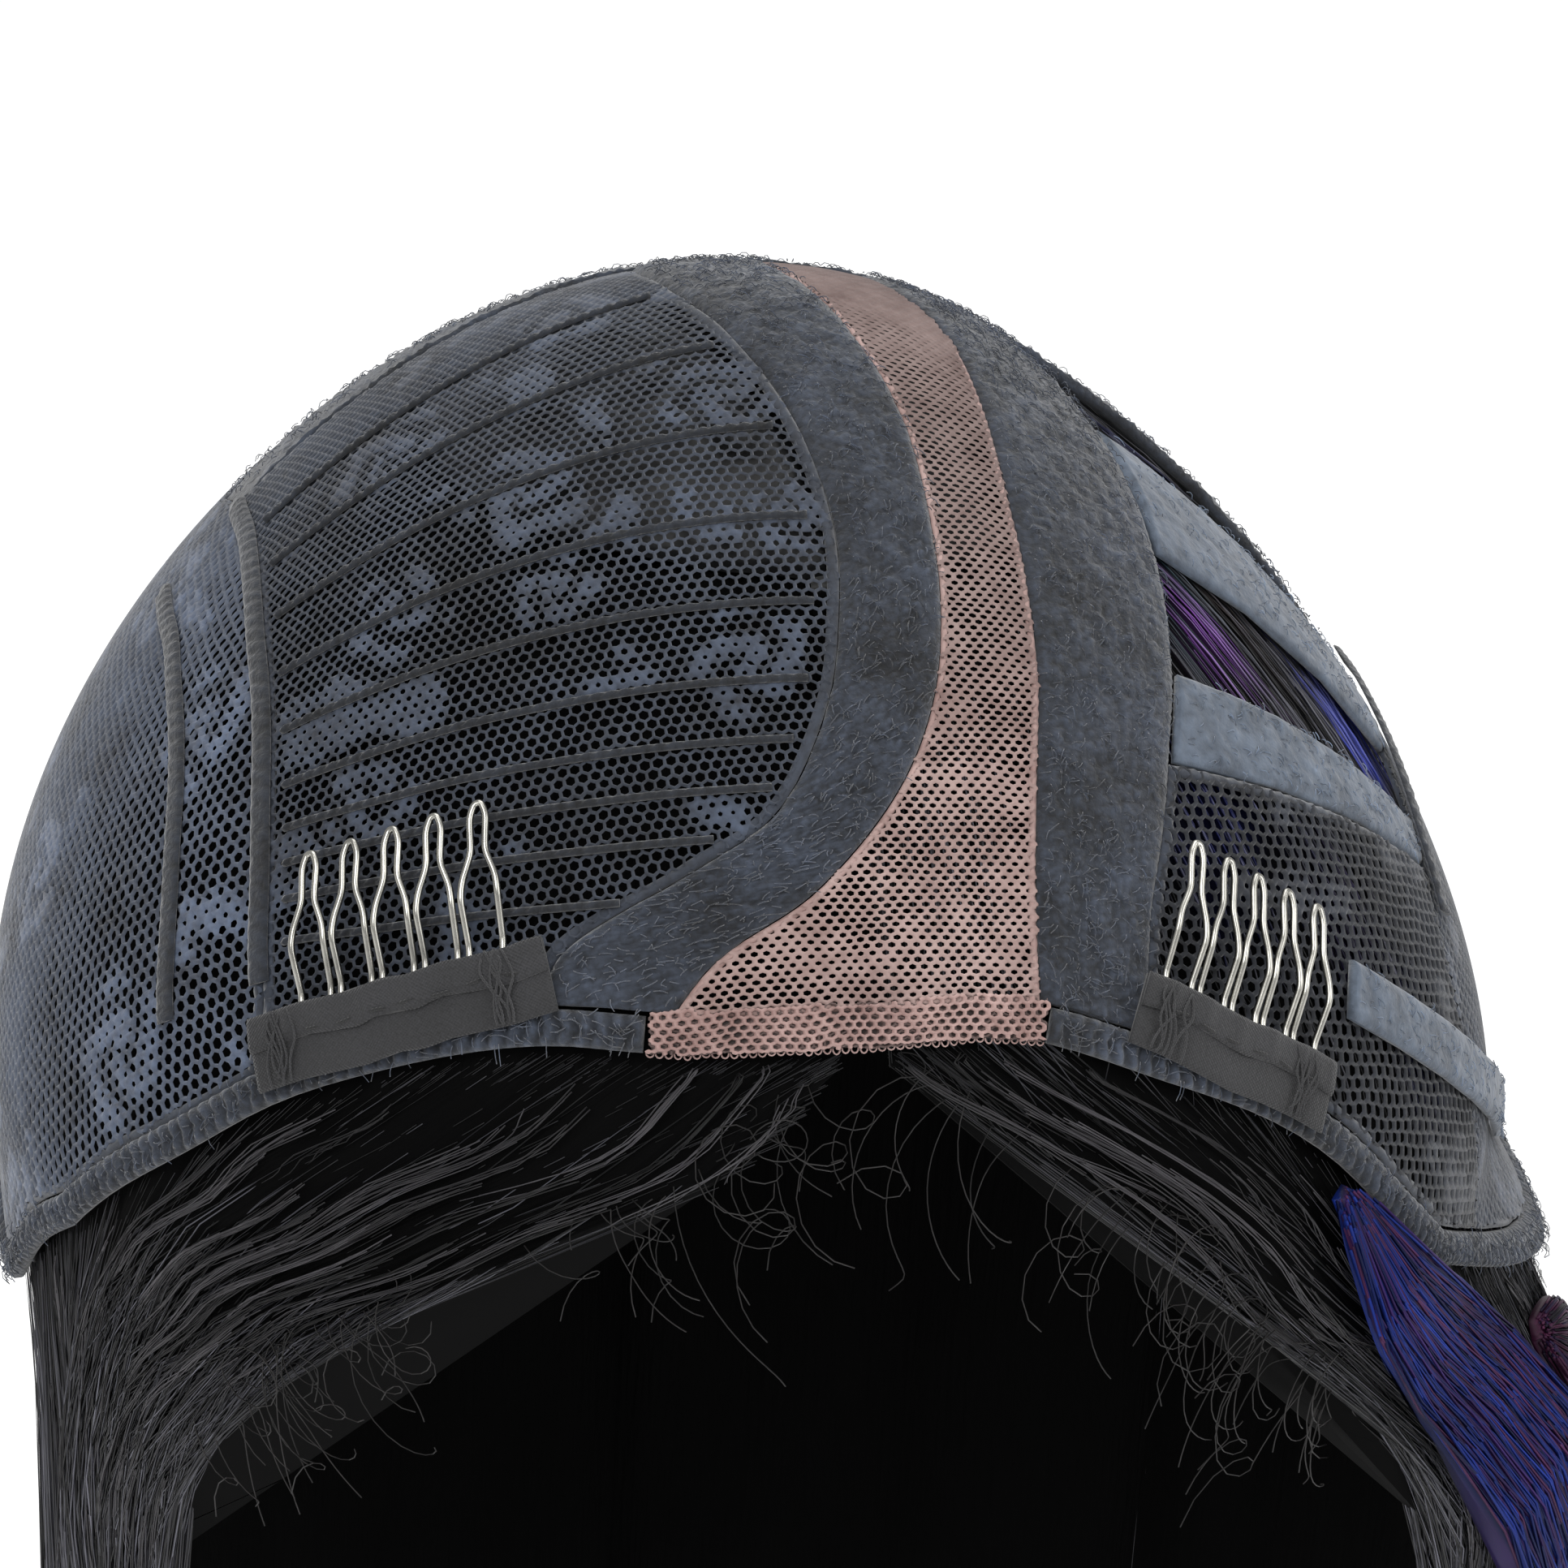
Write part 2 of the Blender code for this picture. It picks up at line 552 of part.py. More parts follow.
def make_straps(collection):
    """The straps of the open right side: two across its windows and one sewn onto the net."""
    half = SEAM_GAP / 2.0
    band = BAND_RIGHT_LOW + BAND_RIGHT_HIGH
    band_rows = tuple((angle, side) for side, angle in band)
    for name, limits in (("strap_a", STRAP_A_OVER), ("strap_b", STRAP_B_OVER)):
        angles = np.linspace(*limits, BAND_ACROSS + 1)
        starts = follow(angles, band_rows)
        grid = patch(
            line(over(starts, angles), BAND_ACROSS),
            line(over(SEAM_RIGHT_SIDE, angles), BAND_ACROSS),
            side_line(starts[0], SEAM_RIGHT_SIDE, limits[0], NET_ACROSS),
            side_line(starts[-1], SEAM_RIGHT_SIDE, limits[1], NET_ACROSS),
        )
        grid = inset(grid, start=SEAM_GAP, end=half, first=half, last=half)
        cloth(name, grid, 0.0, STRAP_WALL, "strap", collection)
    centre = line([around(*row) for row in STRAP_C_LINE], TAPE_STRETCHES)
    grid = strip(centre, -STRAP_C_WIDTH / 2.0, STRAP_C_WIDTH / 2.0)
    cloth("strap_c", grid, NET_WALL + LAYER_GAP, STRAP_WALL, "strap", collection)


def make_rims(collection):
    """The knit edge of the cap, from each end of the lace to the middle of the back."""
    half = math.degrees(SEAM_GAP / HALF_WIDTH)
    runs = (
        ("rim_left", LACE_RIM[0] - half, half - 180.0, RIM_WIDTH),
        ("rim_right", LACE_RIM[1] + half, 180.0 - half, -RIM_WIDTH),
    )
    for name, start, end, width in runs:
        cloth(name, strip(rim_line(start, end, RIM_STRETCHES), 0.0, width), 0.0, RIM_WALL, "knit", collection)


def make_tapes(collection):
    """The weft tracks across the left net and the tapes over the upright seams."""
    band_rows = tuple((angle, side) for side, angle in BAND_LEFT)
    net_top = NET_WALL + LAYER_GAP
    clear = math.degrees((SEAM_WIDTH / 2.0 + 2.0 * SEAM_GAP) / CROWN_HEIGHT)
    for number, angle in enumerate(WEFT_ROWS, 1):
        end = float(follow(angle, band_rows)) - clear
        centre = side_line(SEAM_LEFT_SIDE + clear, end, angle, SIDE_ACROSS)
        grid = strip(centre, -WEFT_WIDTH / 2.0, WEFT_WIDTH / 2.0)
        cloth(f"weft_left_{number}", grid, net_top, TAPE_WALL, "knit", collection)
    back_points = [over(0.0, angle) for angle in SEAM_BACK_ANGLES] + [around(180.0, SEAM_BACK_FALL)]
    seams = [("seam_back", line(back_points, TAPE_STRETCHES), NET_WALL)]
    for name, side, start, end, under in SEAM_TAPES:
        rows = [(side, angle) for angle in np.linspace(start, end, 4)]
        seams.append((name, over_line(rows, TAPE_STRETCHES), under))
    for name, centre, under in seams:
        grid = strip(centre, -SEAM_WIDTH / 2.0, SEAM_WIDTH / 2.0)
        cloth(name, grid, under + LAYER_GAP, TAPE_WALL, "knit", collection)


def make_comb(name, ribbon_name, rows, margins, lean, collection):
    """A ribbon sewn above the rim, and the wire comb that stands out of its upper edge."""
    wire_lift = NET_WALL + LAYER_GAP + WIRE_RADIUS
    tooth_lift = NET_WALL + 2.0 * LAYER_GAP + TAPE_WALL + 2.0 * WIRE_RADIUS
    ribbon_lift = wire_lift + WIRE_RADIUS + LAYER_GAP
    centre = line([around(*row) for row in rows], TAPE_STRETCHES)
    grid = strip(centre, -RIBBON_WIDTH / 2.0, RIBBON_WIDTH / 2.0)
    cloth(ribbon_name, grid, ribbon_lift, TAPE_WALL, "ribbon", collection)
    length = np.linalg.norm(np.diff(centre, axis=0), axis=1).sum()
    run = np.linspace(0.0, length, len(centre))
    pitch = (length - sum(margins)) / TEETH
    across, up = [], []
    for tooth in range(TEETH):
        middle = margins[0] + pitch * (tooth + 0.5)
        across.extend(middle + pitch * share for share, _ in TOOTH)
        up.extend(TOOTH_LENGTH * share for _, share in TOOTH)
    across, up = np.array(across), np.array(up)
    foot = np.stack([np.interp(across, run, centre[:, axis]) for axis in range(3)], axis=1)
    ahead = np.stack([np.interp(across, run, np.gradient(centre[:, axis])) for axis in range(3)], axis=1)
    ahead /= np.linalg.norm(ahead, axis=1, keepdims=True)
    side = np.cross(on_form(foot), ahead)
    side /= np.linalg.norm(side, axis=1, keepdims=True)
    covered = TOOTH[1][1]
    free = np.clip((up / TOOTH_LENGTH - covered) / (1.0 - covered), 0.0, 1.0)
    lift = wire_lift + (tooth_lift - wire_lift) * smooth(free / TOOTH_EASE) + TIP_RISE * free
    points = on_form(foot + (side + lean * ahead) * up[:, None], lift) + DOME_CENTRE
    wire = bpy.data.curves.new(name, "CURVE")
    wire.dimensions = "3D"
    wire.bevel_depth = WIRE_RADIUS
    wire.bevel_resolution = 1
    wire.use_fill_caps = True
    spline = wire.splines.new("POLY")
    spline.points.add(len(points) - 1)
    spline.points.foreach_set("co", np.column_stack([points, np.ones(len(points))]).ravel())
    add(name, wire, "steel", collection)


def hair_edge(edge, fall):
    """Azimuth of a section's front edge at a fall: a column of the parting table, or fixed."""
    if isinstance(edge, int):
        return follow(fall, PARTING, edge)
    return np.full(np.shape(fall), float(edge))


def flare(azimuth, below):
    """How far the hair stands out of the form, by azimuth and by the distance below the rim."""
    most = FLARE_LEFT + (FLARE_RIGHT - FLARE_LEFT) * smooth(np.sin(np.radians(azimuth)))
    return most * smooth(below / FLARE_LENGTH)


def make_hair_section(name, edge, back, stretches, collection):
    """A wall of hair that follows the form to the rim, then falls from it in locks with pointed ends."""
    share = np.linspace(0.0, 1.0, LOCKS_PER_SECTION * 4 + 1)
    gap = math.degrees(SECTION_GAP / 2.0 / HALF_WIDTH) * math.copysign(1.0, back)
    front, back = (lambda fall: hair_edge(edge, fall) + gap), back - gap
    azimuth = front(np.full(share.shape, PARTING[0][0])) * (1.0 - share) + back * share
    for _ in range(SETTLING_ROUNDS):
        fall = follow(azimuth, RIM) + HAIR_UNDER_RIM / CROWN_HEIGHT
        azimuth = front(fall) * (1.0 - share) + back * share
    profile = (1.0 - np.cos(2.0 * math.pi * LOCKS_PER_SECTION * share)) / 2.0
    upper = np.linspace(0.0, 1.0, stretches[0] + 1)[:, None] ** UPPER_CROWDING
    start = HAIR_CROWN_FALL + SECTION_GAP / CROWN_HEIGHT
    upper_fall = start + (fall - start) * upper
    upper_azimuth = np.broadcast_to(azimuth, upper_fall.shape)
    lower = np.linspace(0.0, 1.0, stretches[1] + 1)[1:, None] ** LOWER_CROWDING
    hem = HAIR_HEM_FALL - (1.0 - profile) * LOCK_TIP / CROWN_HEIGHT
    lower_fall = fall + (hem - fall) * lower
    lower_azimuth = front(lower_fall) * (1.0 - share) + back * share
    falls = np.vstack([upper_fall, lower_fall])
    azimuths = np.vstack([upper_azimuth, lower_azimuth])
    below = np.clip(falls - fall, 0.0, None) * CROWN_HEIGHT
    hollow = LOCK_DEPTH * (1.0 - profile) * smooth(below / (FLARE_LENGTH / 2.0))
    lift = flare(azimuths, below) - hollow - HAIR_GAP
    cloth(name, around(azimuths, falls), lift, HAIR_WALL, "hair", collection, inward=True)


def make_hair_crown(collection):
    """The hair over the apex: the top rings of a ball, laid on the form."""
    bpy.ops.mesh.primitive_uv_sphere_add(segments=BALL_SEGMENTS, ring_count=BALL_RINGS, radius=CROWN_HEIGHT)
    made = bpy.context.object
    made.name = "hair_crown"
    shape = bmesh.new()
    shape.from_mesh(made.data)
    widest = math.pi * CROWN_RINGS / BALL_RINGS
    lowest = math.cos(math.pi * (CROWN_RINGS + 0.5) / BALL_RINGS) * CROWN_HEIGHT
    outer = [vertex for vertex in shape.verts if vertex.co.z < lowest]
    bmesh.ops.delete(shape, geom=outer, context="VERTS")
    for vertex in shape.verts:
        from_apex = math.acos(min(vertex.co.z / CROWN_HEIGHT, 1.0))
        azimuth = math.degrees(math.atan2(vertex.co.x, -vertex.co.y))
        place = around(azimuth, HAIR_CROWN_FALL * from_apex / widest)
        vertex.co = on_form(place, -HAIR_GAP) + DOME_CENTRE
    shape.to_mesh(made.data)
    shape.free()
    made.data.materials.append(finish("hair"))
    for holder in made.users_collection:
        holder.objects.unlink(made)
    collection.objects.link(made)
    thicken(made, HAIR_WALL, -1.0)


def make_dyed_lock(name, rows, finish_name, gap, collection):
    """A lock that widens and narrows again, laid over the hair below the rim."""
    centre = line([around(*row) for row in rows], TAPE_STRETCHES)
    share = np.linspace(0.0, 1.0, len(centre))
    swell = np.sin(math.pi * share) ** DYED_LOCK_SWELL
    half = DYED_LOCK_WIDTH / 2.0 * (DYED_LOCK_END + (1.0 - DYED_LOCK_END) * swell)
    grid = strip(centre, -half, half, LOCK_ACROSS)
    azimuth = np.degrees(np.arctan2(grid[..., 0], -grid[..., 1]))
    lift = flare(azimuth, centre[0, 2] - grid[..., 2]) - HAIR_GAP + gap
    cloth(name, grid, lift, DYED_LOCK_WALL, finish_name, collection)


def main():
    """Builds the wig in an emptied scene."""
    for old in list(bpy.data.objects):
        bpy.data.objects.remove(old, do_unlink=True)
    collection = bpy.data.collections.new("wig")
    bpy.context.scene.collection.children.link(collection)
    lines = make_lines()
    make_part(lines, collection)
    make_nets(lines, collection)
    make_straps(collection)
    make_rims(collection)
    make_tapes(collection)
    for comb, ribbon, rows, margins, lean in COMB_CLIPS:
        make_comb(comb, ribbon, rows, margins, lean, collection)
    make_hair_crown(collection)
    for name, edge, back, stretches in HAIR_SECTIONS:
        make_hair_section(name, edge, back, stretches, collection)
    for name, rows, finish_name, gap in DYED_LOCKS:
        make_dyed_lock(name, rows, finish_name, gap, collection)


main()
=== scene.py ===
"""Visual model of a lace part wig with a net cap, turned inside out, laid over its CAD frame.

The cap's panels, straps and clips lie on one head form, as they do in the frame. Nets and lace are real
lattices of thread, knit bands are raised stitch by stitch, and the hair is a wall of locks dressed with strands.
Places on the form are given "around", by an azimuth and a fall from the apex, or "over", by an angle to the
side and an angle over the head. All lengths are in metres.
"""

import logging
import math
from dataclasses import dataclass
from enum import Enum

import bpy
import numpy as np
from mathutils import Matrix, Vector

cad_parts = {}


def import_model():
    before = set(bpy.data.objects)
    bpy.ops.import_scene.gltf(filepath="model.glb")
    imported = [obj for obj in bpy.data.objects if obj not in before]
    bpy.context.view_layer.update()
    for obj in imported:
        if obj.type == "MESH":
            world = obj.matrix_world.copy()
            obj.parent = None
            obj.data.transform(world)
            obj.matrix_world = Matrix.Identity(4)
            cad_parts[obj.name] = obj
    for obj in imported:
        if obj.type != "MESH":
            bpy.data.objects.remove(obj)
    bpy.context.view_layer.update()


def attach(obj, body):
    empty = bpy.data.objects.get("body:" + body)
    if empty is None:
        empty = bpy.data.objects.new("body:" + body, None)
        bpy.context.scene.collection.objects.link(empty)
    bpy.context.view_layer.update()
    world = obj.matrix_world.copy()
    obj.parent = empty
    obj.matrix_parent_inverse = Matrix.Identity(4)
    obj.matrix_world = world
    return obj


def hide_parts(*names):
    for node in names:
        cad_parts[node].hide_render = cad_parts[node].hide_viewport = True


LOG = logging.getLogger("wig")
Array = np.ndarray


class Slot(Enum):
    """Material slots of the record."""

    NET = "net"
    KNIT = "knit"
    LACE = "lace"
    STRAP = "strap"
    RIBBON = "ribbon"
    STEEL = "steel"
    HAIR = "hair"
    BLUE_HAIR = "blue_hair"
    MAGENTA_HAIR = "magenta_hair"


class Side(Enum):
    """Sides of the wig, seen from the front."""

    LEFT = -1
    RIGHT = 1


def smooth(share: Array) -> Array:
    """Eased share: 0 at 0, 1 at 1, level at both ends."""
    share = np.clip(share, 0.0, 1.0)
    return share * share * (3.0 - 2.0 * share)


def follow(at: Array, table: tuple, column: int = 1) -> Array:
    """Reads a table's column at places in its first column, on a smooth curve through the rows.

    Args:
        at: Places in the first column's unit.
        table: Rows in rising order of their first column.
        column: The column that is read.

    Returns:
        The values, by Hermite curves whose slopes are the rows' own gradients.
    """
    rows = np.array([(row[0], row[column]) for row in table], float)
    slopes = np.gradient(rows[:, 1], rows[:, 0])
    at = np.clip(np.asarray(at, float), rows[0, 0], rows[-1, 0])
    index = np.clip(np.searchsorted(rows[:, 0], at) - 1, 0, len(rows) - 2)
    span = rows[index + 1, 0] - rows[index, 0]
    share = (at - rows[index, 0]) / span
    bend_in = slopes[index] * span * share * (1.0 - share) ** 2
    bend_out = slopes[index + 1] * span * share**2 * (1.0 - share)
    ease = smooth(share)
    return rows[index, 1] * (1.0 - ease) + rows[index + 1, 1] * ease + bend_in - bend_out


def unit(vectors: Array) -> Array:
    """Vectors brought to length one."""
    return vectors / np.maximum(np.linalg.norm(vectors, axis=-1, keepdims=True), 1e-12)


def even(points: Array, count: int) -> Array:
    """Points along a line at even distances, count stretches long."""
    run = np.concatenate([[0.0], np.cumsum(np.linalg.norm(np.diff(points, axis=0), axis=1))])
    wanted = np.linspace(0.0, run[-1], count + 1)
    return np.stack([np.interp(wanted, run, points[:, axis]) for axis in range(3)], axis=1)


def length_of(points: Array) -> float:
    """Length of a line of points."""
    return float(np.linalg.norm(np.diff(points, axis=0), axis=1).sum())


def wander(x: Array, y: Array, seed: int) -> Array:
    """Smooth random field from -1 to 1: values drawn on a square grid of pitch 1, eased between its points."""
    table = np.random.default_rng(seed).uniform(-1.0, 1.0, (64, 64))
    x, y = np.broadcast_arrays(np.asarray(x, float), np.asarray(y, float))
    left, low = np.floor(x).astype(int), np.floor(y).astype(int)
    across, up = smooth(x - left), smooth(y - low)
    lower = table[left % 64, low % 64] * (1 - across) + table[(left + 1) % 64, low % 64] * across
    upper = table[left % 64, (low + 1) % 64] * (1 - across) + table[(left + 1) % 64, (low + 1) % 64] * across
    return lower * (1 - up) + upper * up


def linear(colour: str) -> tuple[float, float, float]:
    """An sRGB hex colour as linear red, green and blue."""
    values = [int(colour[at : at + 2], 16) / 255.0 for at in (1, 3, 5)]
    return tuple(value / 12.92 if value <= 0.04045 else ((value + 0.055) / 1.055) ** 2.4 for value in values)


@dataclass(frozen=True)
class HeadForm:
    """The form that the cap lies on: a dome above its widest level and a slightly tapered wall below it."""

    half_width: float = 0.093
    front_depth: float = 0.098
    back_depth: float = 0.104
    crown_height: float = 0.0975
    fullness_left: float = 1.70
    fullness_right: float = 1.60
    squareness: float = 2.15
    neck_taper: float = 0.10
    taper_depth: float = 0.120
    seat_depth: float = 0.0051
    spread_right: float = 0.018
    spread_length: float = 0.042
    rim: tuple = (
        (-180, 1.70), (-165, 1.695), (-140, 1.58), (-120, 1.34), (-106, 1.24), (-92, 1.29), (-81, 1.26),
        (-67, 1.05), (-58, 0.94), (-51, 0.87), (-45, 0.81), (-36, 0.75), (-24, 0.705), (-16.5, 0.70),
        (0, 0.69), (14, 0.70), (22, 0.74), (38, 0.86), (44, 0.94), (58, 1.09), (70, 1.20), (84, 1.29),
        (106, 1.24), (120, 1.34), (140, 1.58), (165, 1.695), (180, 1.70),
    )

    @property
    def centre(self) -> Array:
        """The dome's centre in the world."""
        return np.array([0.0, 0.0, self.seat_depth - self.crown_height])

    def reach(self, points: Array) -> Array:
        """How far out points lie, 1 on the form: a rounded box in plan joined to a dome in height."""
        across, along, up = points[..., 0], points[..., 1], np.maximum(points[..., 2], 0.0)
        to_right = smooth((across / (np.linalg.norm(points, axis=-1) + 1e-9) + 0.35) / 0.9)
        depth = np.where(along < 0.0, self.front_depth, self.back_depth)
        full = self.fullness_left + (self.fullness_right - self.fullness_left) * to_right
        plan = np.abs(across / self.half_width) ** self.squareness + np.abs(along / depth) ** self.squareness
        return (plan ** (full / self.squareness) + (up / self.crown_height) ** full) ** (1.0 / full)

    def spread(self, points: Array) -> Array:
        """How far the right side stands out below the widest level: an eased share sideways and down."""
        sideways = points[..., 0] / (np.hypot(points[..., 0], points[..., 1]) + 1e-9)
        return self.spread_right * smooth((sideways - 0.58) / 0.40) * smooth(-points[..., 2] / self.spread_length)

    def on_form(self, points: Array, lift: Array | float = 0.0) -> Array:
        """Moves points onto the form, or above it.

        Args:
            points: Points about the dome's centre.
            lift: Heights above the form.

        Returns:
            Points moved radially on the dome and level on the wall below it.
        """
        points = np.asarray(points, float)
        high = points[..., 2] >= 0.0
        outward = np.where(high[..., None], points, points * np.array([1.0, 1.0, 0.0]))
        taper = np.where(high, 1.0, 1.0 - self.neck_taper * smooth(-points[..., 2] / self.taper_depth))
        placed = outward * (taper / np.maximum(self.reach(outward), 1e-9))[..., None]
        lift = lift + self.spread(points)
        placed = placed * (1.0 + lift[..., None] / np.linalg.norm(placed, axis=-1, keepdims=True))
        placed[..., 2] = np.where(high, placed[..., 2], points[..., 2])
        return placed

    def around(self, azimuth: Array, fall: Array) -> Array:
        """Points on the form by azimuth and fall."""
        azimuth, fall = np.broadcast_arrays(np.asarray(azimuth, float), np.asarray(fall, float))
        turn, rise = np.radians(azimuth), np.radians(90.0 * np.clip(1.0 - fall, 0.0, 1.0))
        height = np.sin(rise) - np.clip(fall - 1.0, 0.0, None)
        points = np.stack([np.sin(turn) * np.cos(rise), -np.cos(turn) * np.cos(rise), height], axis=-1)
        return self.on_form(points * self.crown_height)

    def over(self, side: Array, angle: Array) -> Array:
        """Points on the form by the angle to the side and the angle over the head."""
        side, angle = np.broadcast_arrays(np.asarray(side, float), np.asarray(angle, float))
        side, angle = np.radians(side), np.radians(angle)
        points = np.stack([np.sin(side), -np.cos(side) * np.cos(angle), np.cos(side) * np.sin(angle)], axis=-1)
        return self.on_form(points * self.crown_height)

    def out(self, points: Array) -> Array:
        """Unit directions out of the form at points about the dome's centre."""
        return unit(points * np.where(points[..., 2:] >= 0.0, 1.0, np.array([1.0, 1.0, 0.0])))

    def line(self, points: list | Array, count: int) -> Array:
        """A smooth line on the form through points, by Catmull-Rom curves, in count even stretches."""
        points = np.asarray(points, float)
        before = np.vstack([2.0 * points[0] - points[1], points, 2.0 * points[-1] - points[-2]])
        share = np.linspace(0.0, 1.0, 24, endpoint=False)[None, :, None]
        start, near, far, end = before[:-3, None], before[1:-2, None], before[2:-1, None], before[3:, None]
        bend = 2.0 * start - 5.0 * near + 4.0 * far - end
        turn = 3.0 * near - start - 3.0 * far + end
        fine = near + 0.5 * ((far - start) * share + bend * share**2 + turn * share**3)
        return self.on_form(even(np.vstack([fine.reshape(-1, 3), points[-1:]]), count))

    def over_line(self, rows: list | tuple, count: int, start: Array | None = None, end: Array | None = None) -> Array:
        """A line through rows of angles over the head, from and to other points where they are given."""
        points = [self.over(side, angle) for side, angle in rows]
        points = ([] if start is None else [start]) + points + ([] if end is None else [end])
        return self.line(points, count)

    def side_line(self, start: float, end: float, angle: float, count: int) -> Array:
        """A line across the crown at one angle over the head."""
        return self.over_line([(side, angle) for side in np.linspace(start, end, 5)], count)

    def rim_line(self, start: float, end: float, count: int) -> Array:
        """The rim of the cap between two azimuths."""
        azimuths = np.linspace(start, end, 96)
        return self.on_form(even(self.around(azimuths, follow(azimuths, self.rim)), count))

    def rim_point(self, azimuth: float) -> Array:
        """The point of the rim at an azimuth."""
        return self.around(azimuth, follow(azimuth, self.rim))

    def side_of(self, centre: Array) -> Array:
        """Level unit directions on the form at the right of a line."""
        return unit(np.cross(np.gradient(centre, axis=0), self.out(centre)))

    def patch(self, start: Array, end: Array, first: Array, last: Array) -> Array:
        """A grid between four border lines: the two ruled surfaces added, less the one through the corners."""
        across = np.linspace(0.0, 1.0, len(start))[None, :, None]
        along = np.linspace(0.0, 1.0, len(first))[:, None, None]
        ruled_along = (1.0 - along) * start[None] + along * end[None]
        ruled_across = (1.0 - across) * first[:, None] + across * last[:, None]
        near = (1.0 - across) * start[0] + across * start[-1]
        far = (1.0 - across) * end[0] + across * end[-1]
        return self.on_form(ruled_along + ruled_across - (1.0 - along) * near - along * far)

    def trim(self, grid: Array, start: float, end: float, first: float, last: float) -> Array:
        """Draws a grid's borders in.

        Args:
            grid: Points on the form, rows along and columns across.
            start, end, first, last: Distances, square to each border.

        Returns:
            A grid of the same size, spread evenly along its lines between the new borders.
        """
        for axis, near, far in ((1, first, last), (0, start, end)):
            rows = np.moveaxis(grid, axis, 0)
            cut = []
            for border, inner, distance in ((0, 1, near), (-1, -2, far)):
                square = np.abs((unit(rows[inner] - rows[border]) * self.side_of(rows[border])).sum(axis=1))
                cut.append(distance / np.maximum(square, 0.4))
            lines = []
            for index in range(rows.shape[1]):
                points = rows[:, index]
                run = np.concatenate([[0.0], np.cumsum(np.linalg.norm(np.diff(points, axis=0), axis=1))])
                wanted = np.linspace(cut[0][index], run[-1] - cut[1][index], len(points))
                lines.append(np.stack([np.interp(wanted, run, points[:, at]) for at in range(3)], axis=1))
            grid = np.moveaxis(np.stack(lines, axis=1), 0, axis)
        return self.on_form(grid)

    def strip(self, centre: Array, low: Array | float, high: Array | float, columns: int) -> Array:
        """A grid along a line on the form, reaching from low to high at its right side."""
        low = np.broadcast_to(low, len(centre))[:, None]
        high = np.broadcast_to(high, len(centre))[:, None]
        offset = low + (high - low) * np.linspace(0.0, 1.0, columns)
        return self.on_form(centre[:, None] + self.side_of(centre)[:, None] * offset[..., None])


@dataclass(frozen=True)
class Chart:
    """A flat map of the form about one place, true to area, on which threads are laid out."""

    form: HeadForm
    middle: tuple
    upward: tuple

    @property
    def axes(self) -> tuple[Array, Array, Array]:
        """Unit directions to the right, up and out at the map's middle."""
        out = unit(np.array(self.middle, float))
        up = np.array(self.upward, float)
        up = unit(up - out * (up @ out))
        return np.cross(up, out), up, out

    def to_flat(self, points: Array) -> Array:
        """Places on the map of points on the form: twice the sine of half the angle from the middle."""
        right, up, out = self.axes
        level = np.hypot(points[..., 0], points[..., 1])
        height = points[..., 2]
        rise = np.where(height >= 0.0, np.arctan2(height, level), height / self.form.crown_height)
        turn = np.arctan2(points[..., 0], -points[..., 1])
        ball = np.stack([np.sin(turn) * np.cos(rise), -np.cos(turn) * np.cos(rise), np.sin(rise)], axis=-1)
        angle = np.arccos(np.clip(ball @ out, -1.0, 1.0))
        flat = unit(np.stack([ball @ right, ball @ up], axis=-1) + 1e-12)
        return flat * (2.0 * np.sin(angle / 2.0) * self.form.crown_height)[..., None]

    def to_form(self, flat: Array) -> Array:
        """Points on the form of places on the map."""
        right, up, out = self.axes
        distance = np.linalg.norm(flat, axis=-1, keepdims=True)
        angle = 2.0 * np.arcsin(np.clip(distance / (2.0 * self.form.crown_height), 0.0, 1.0))
        way = flat / np.maximum(distance, 1e-12)
        ball = np.cos(angle) * out + np.sin(angle) * (way[..., :1] * right + way[..., 1:] * up)
        rise = np.arcsin(np.clip(ball[..., 2], -1.0, 1.0))
        fall = np.where(rise >= 0.0, 1.0 - rise / (math.pi / 2.0), 1.0 - rise)
        return self.form.around(np.degrees(np.arctan2(ball[..., 0], -ball[..., 1])), fall)


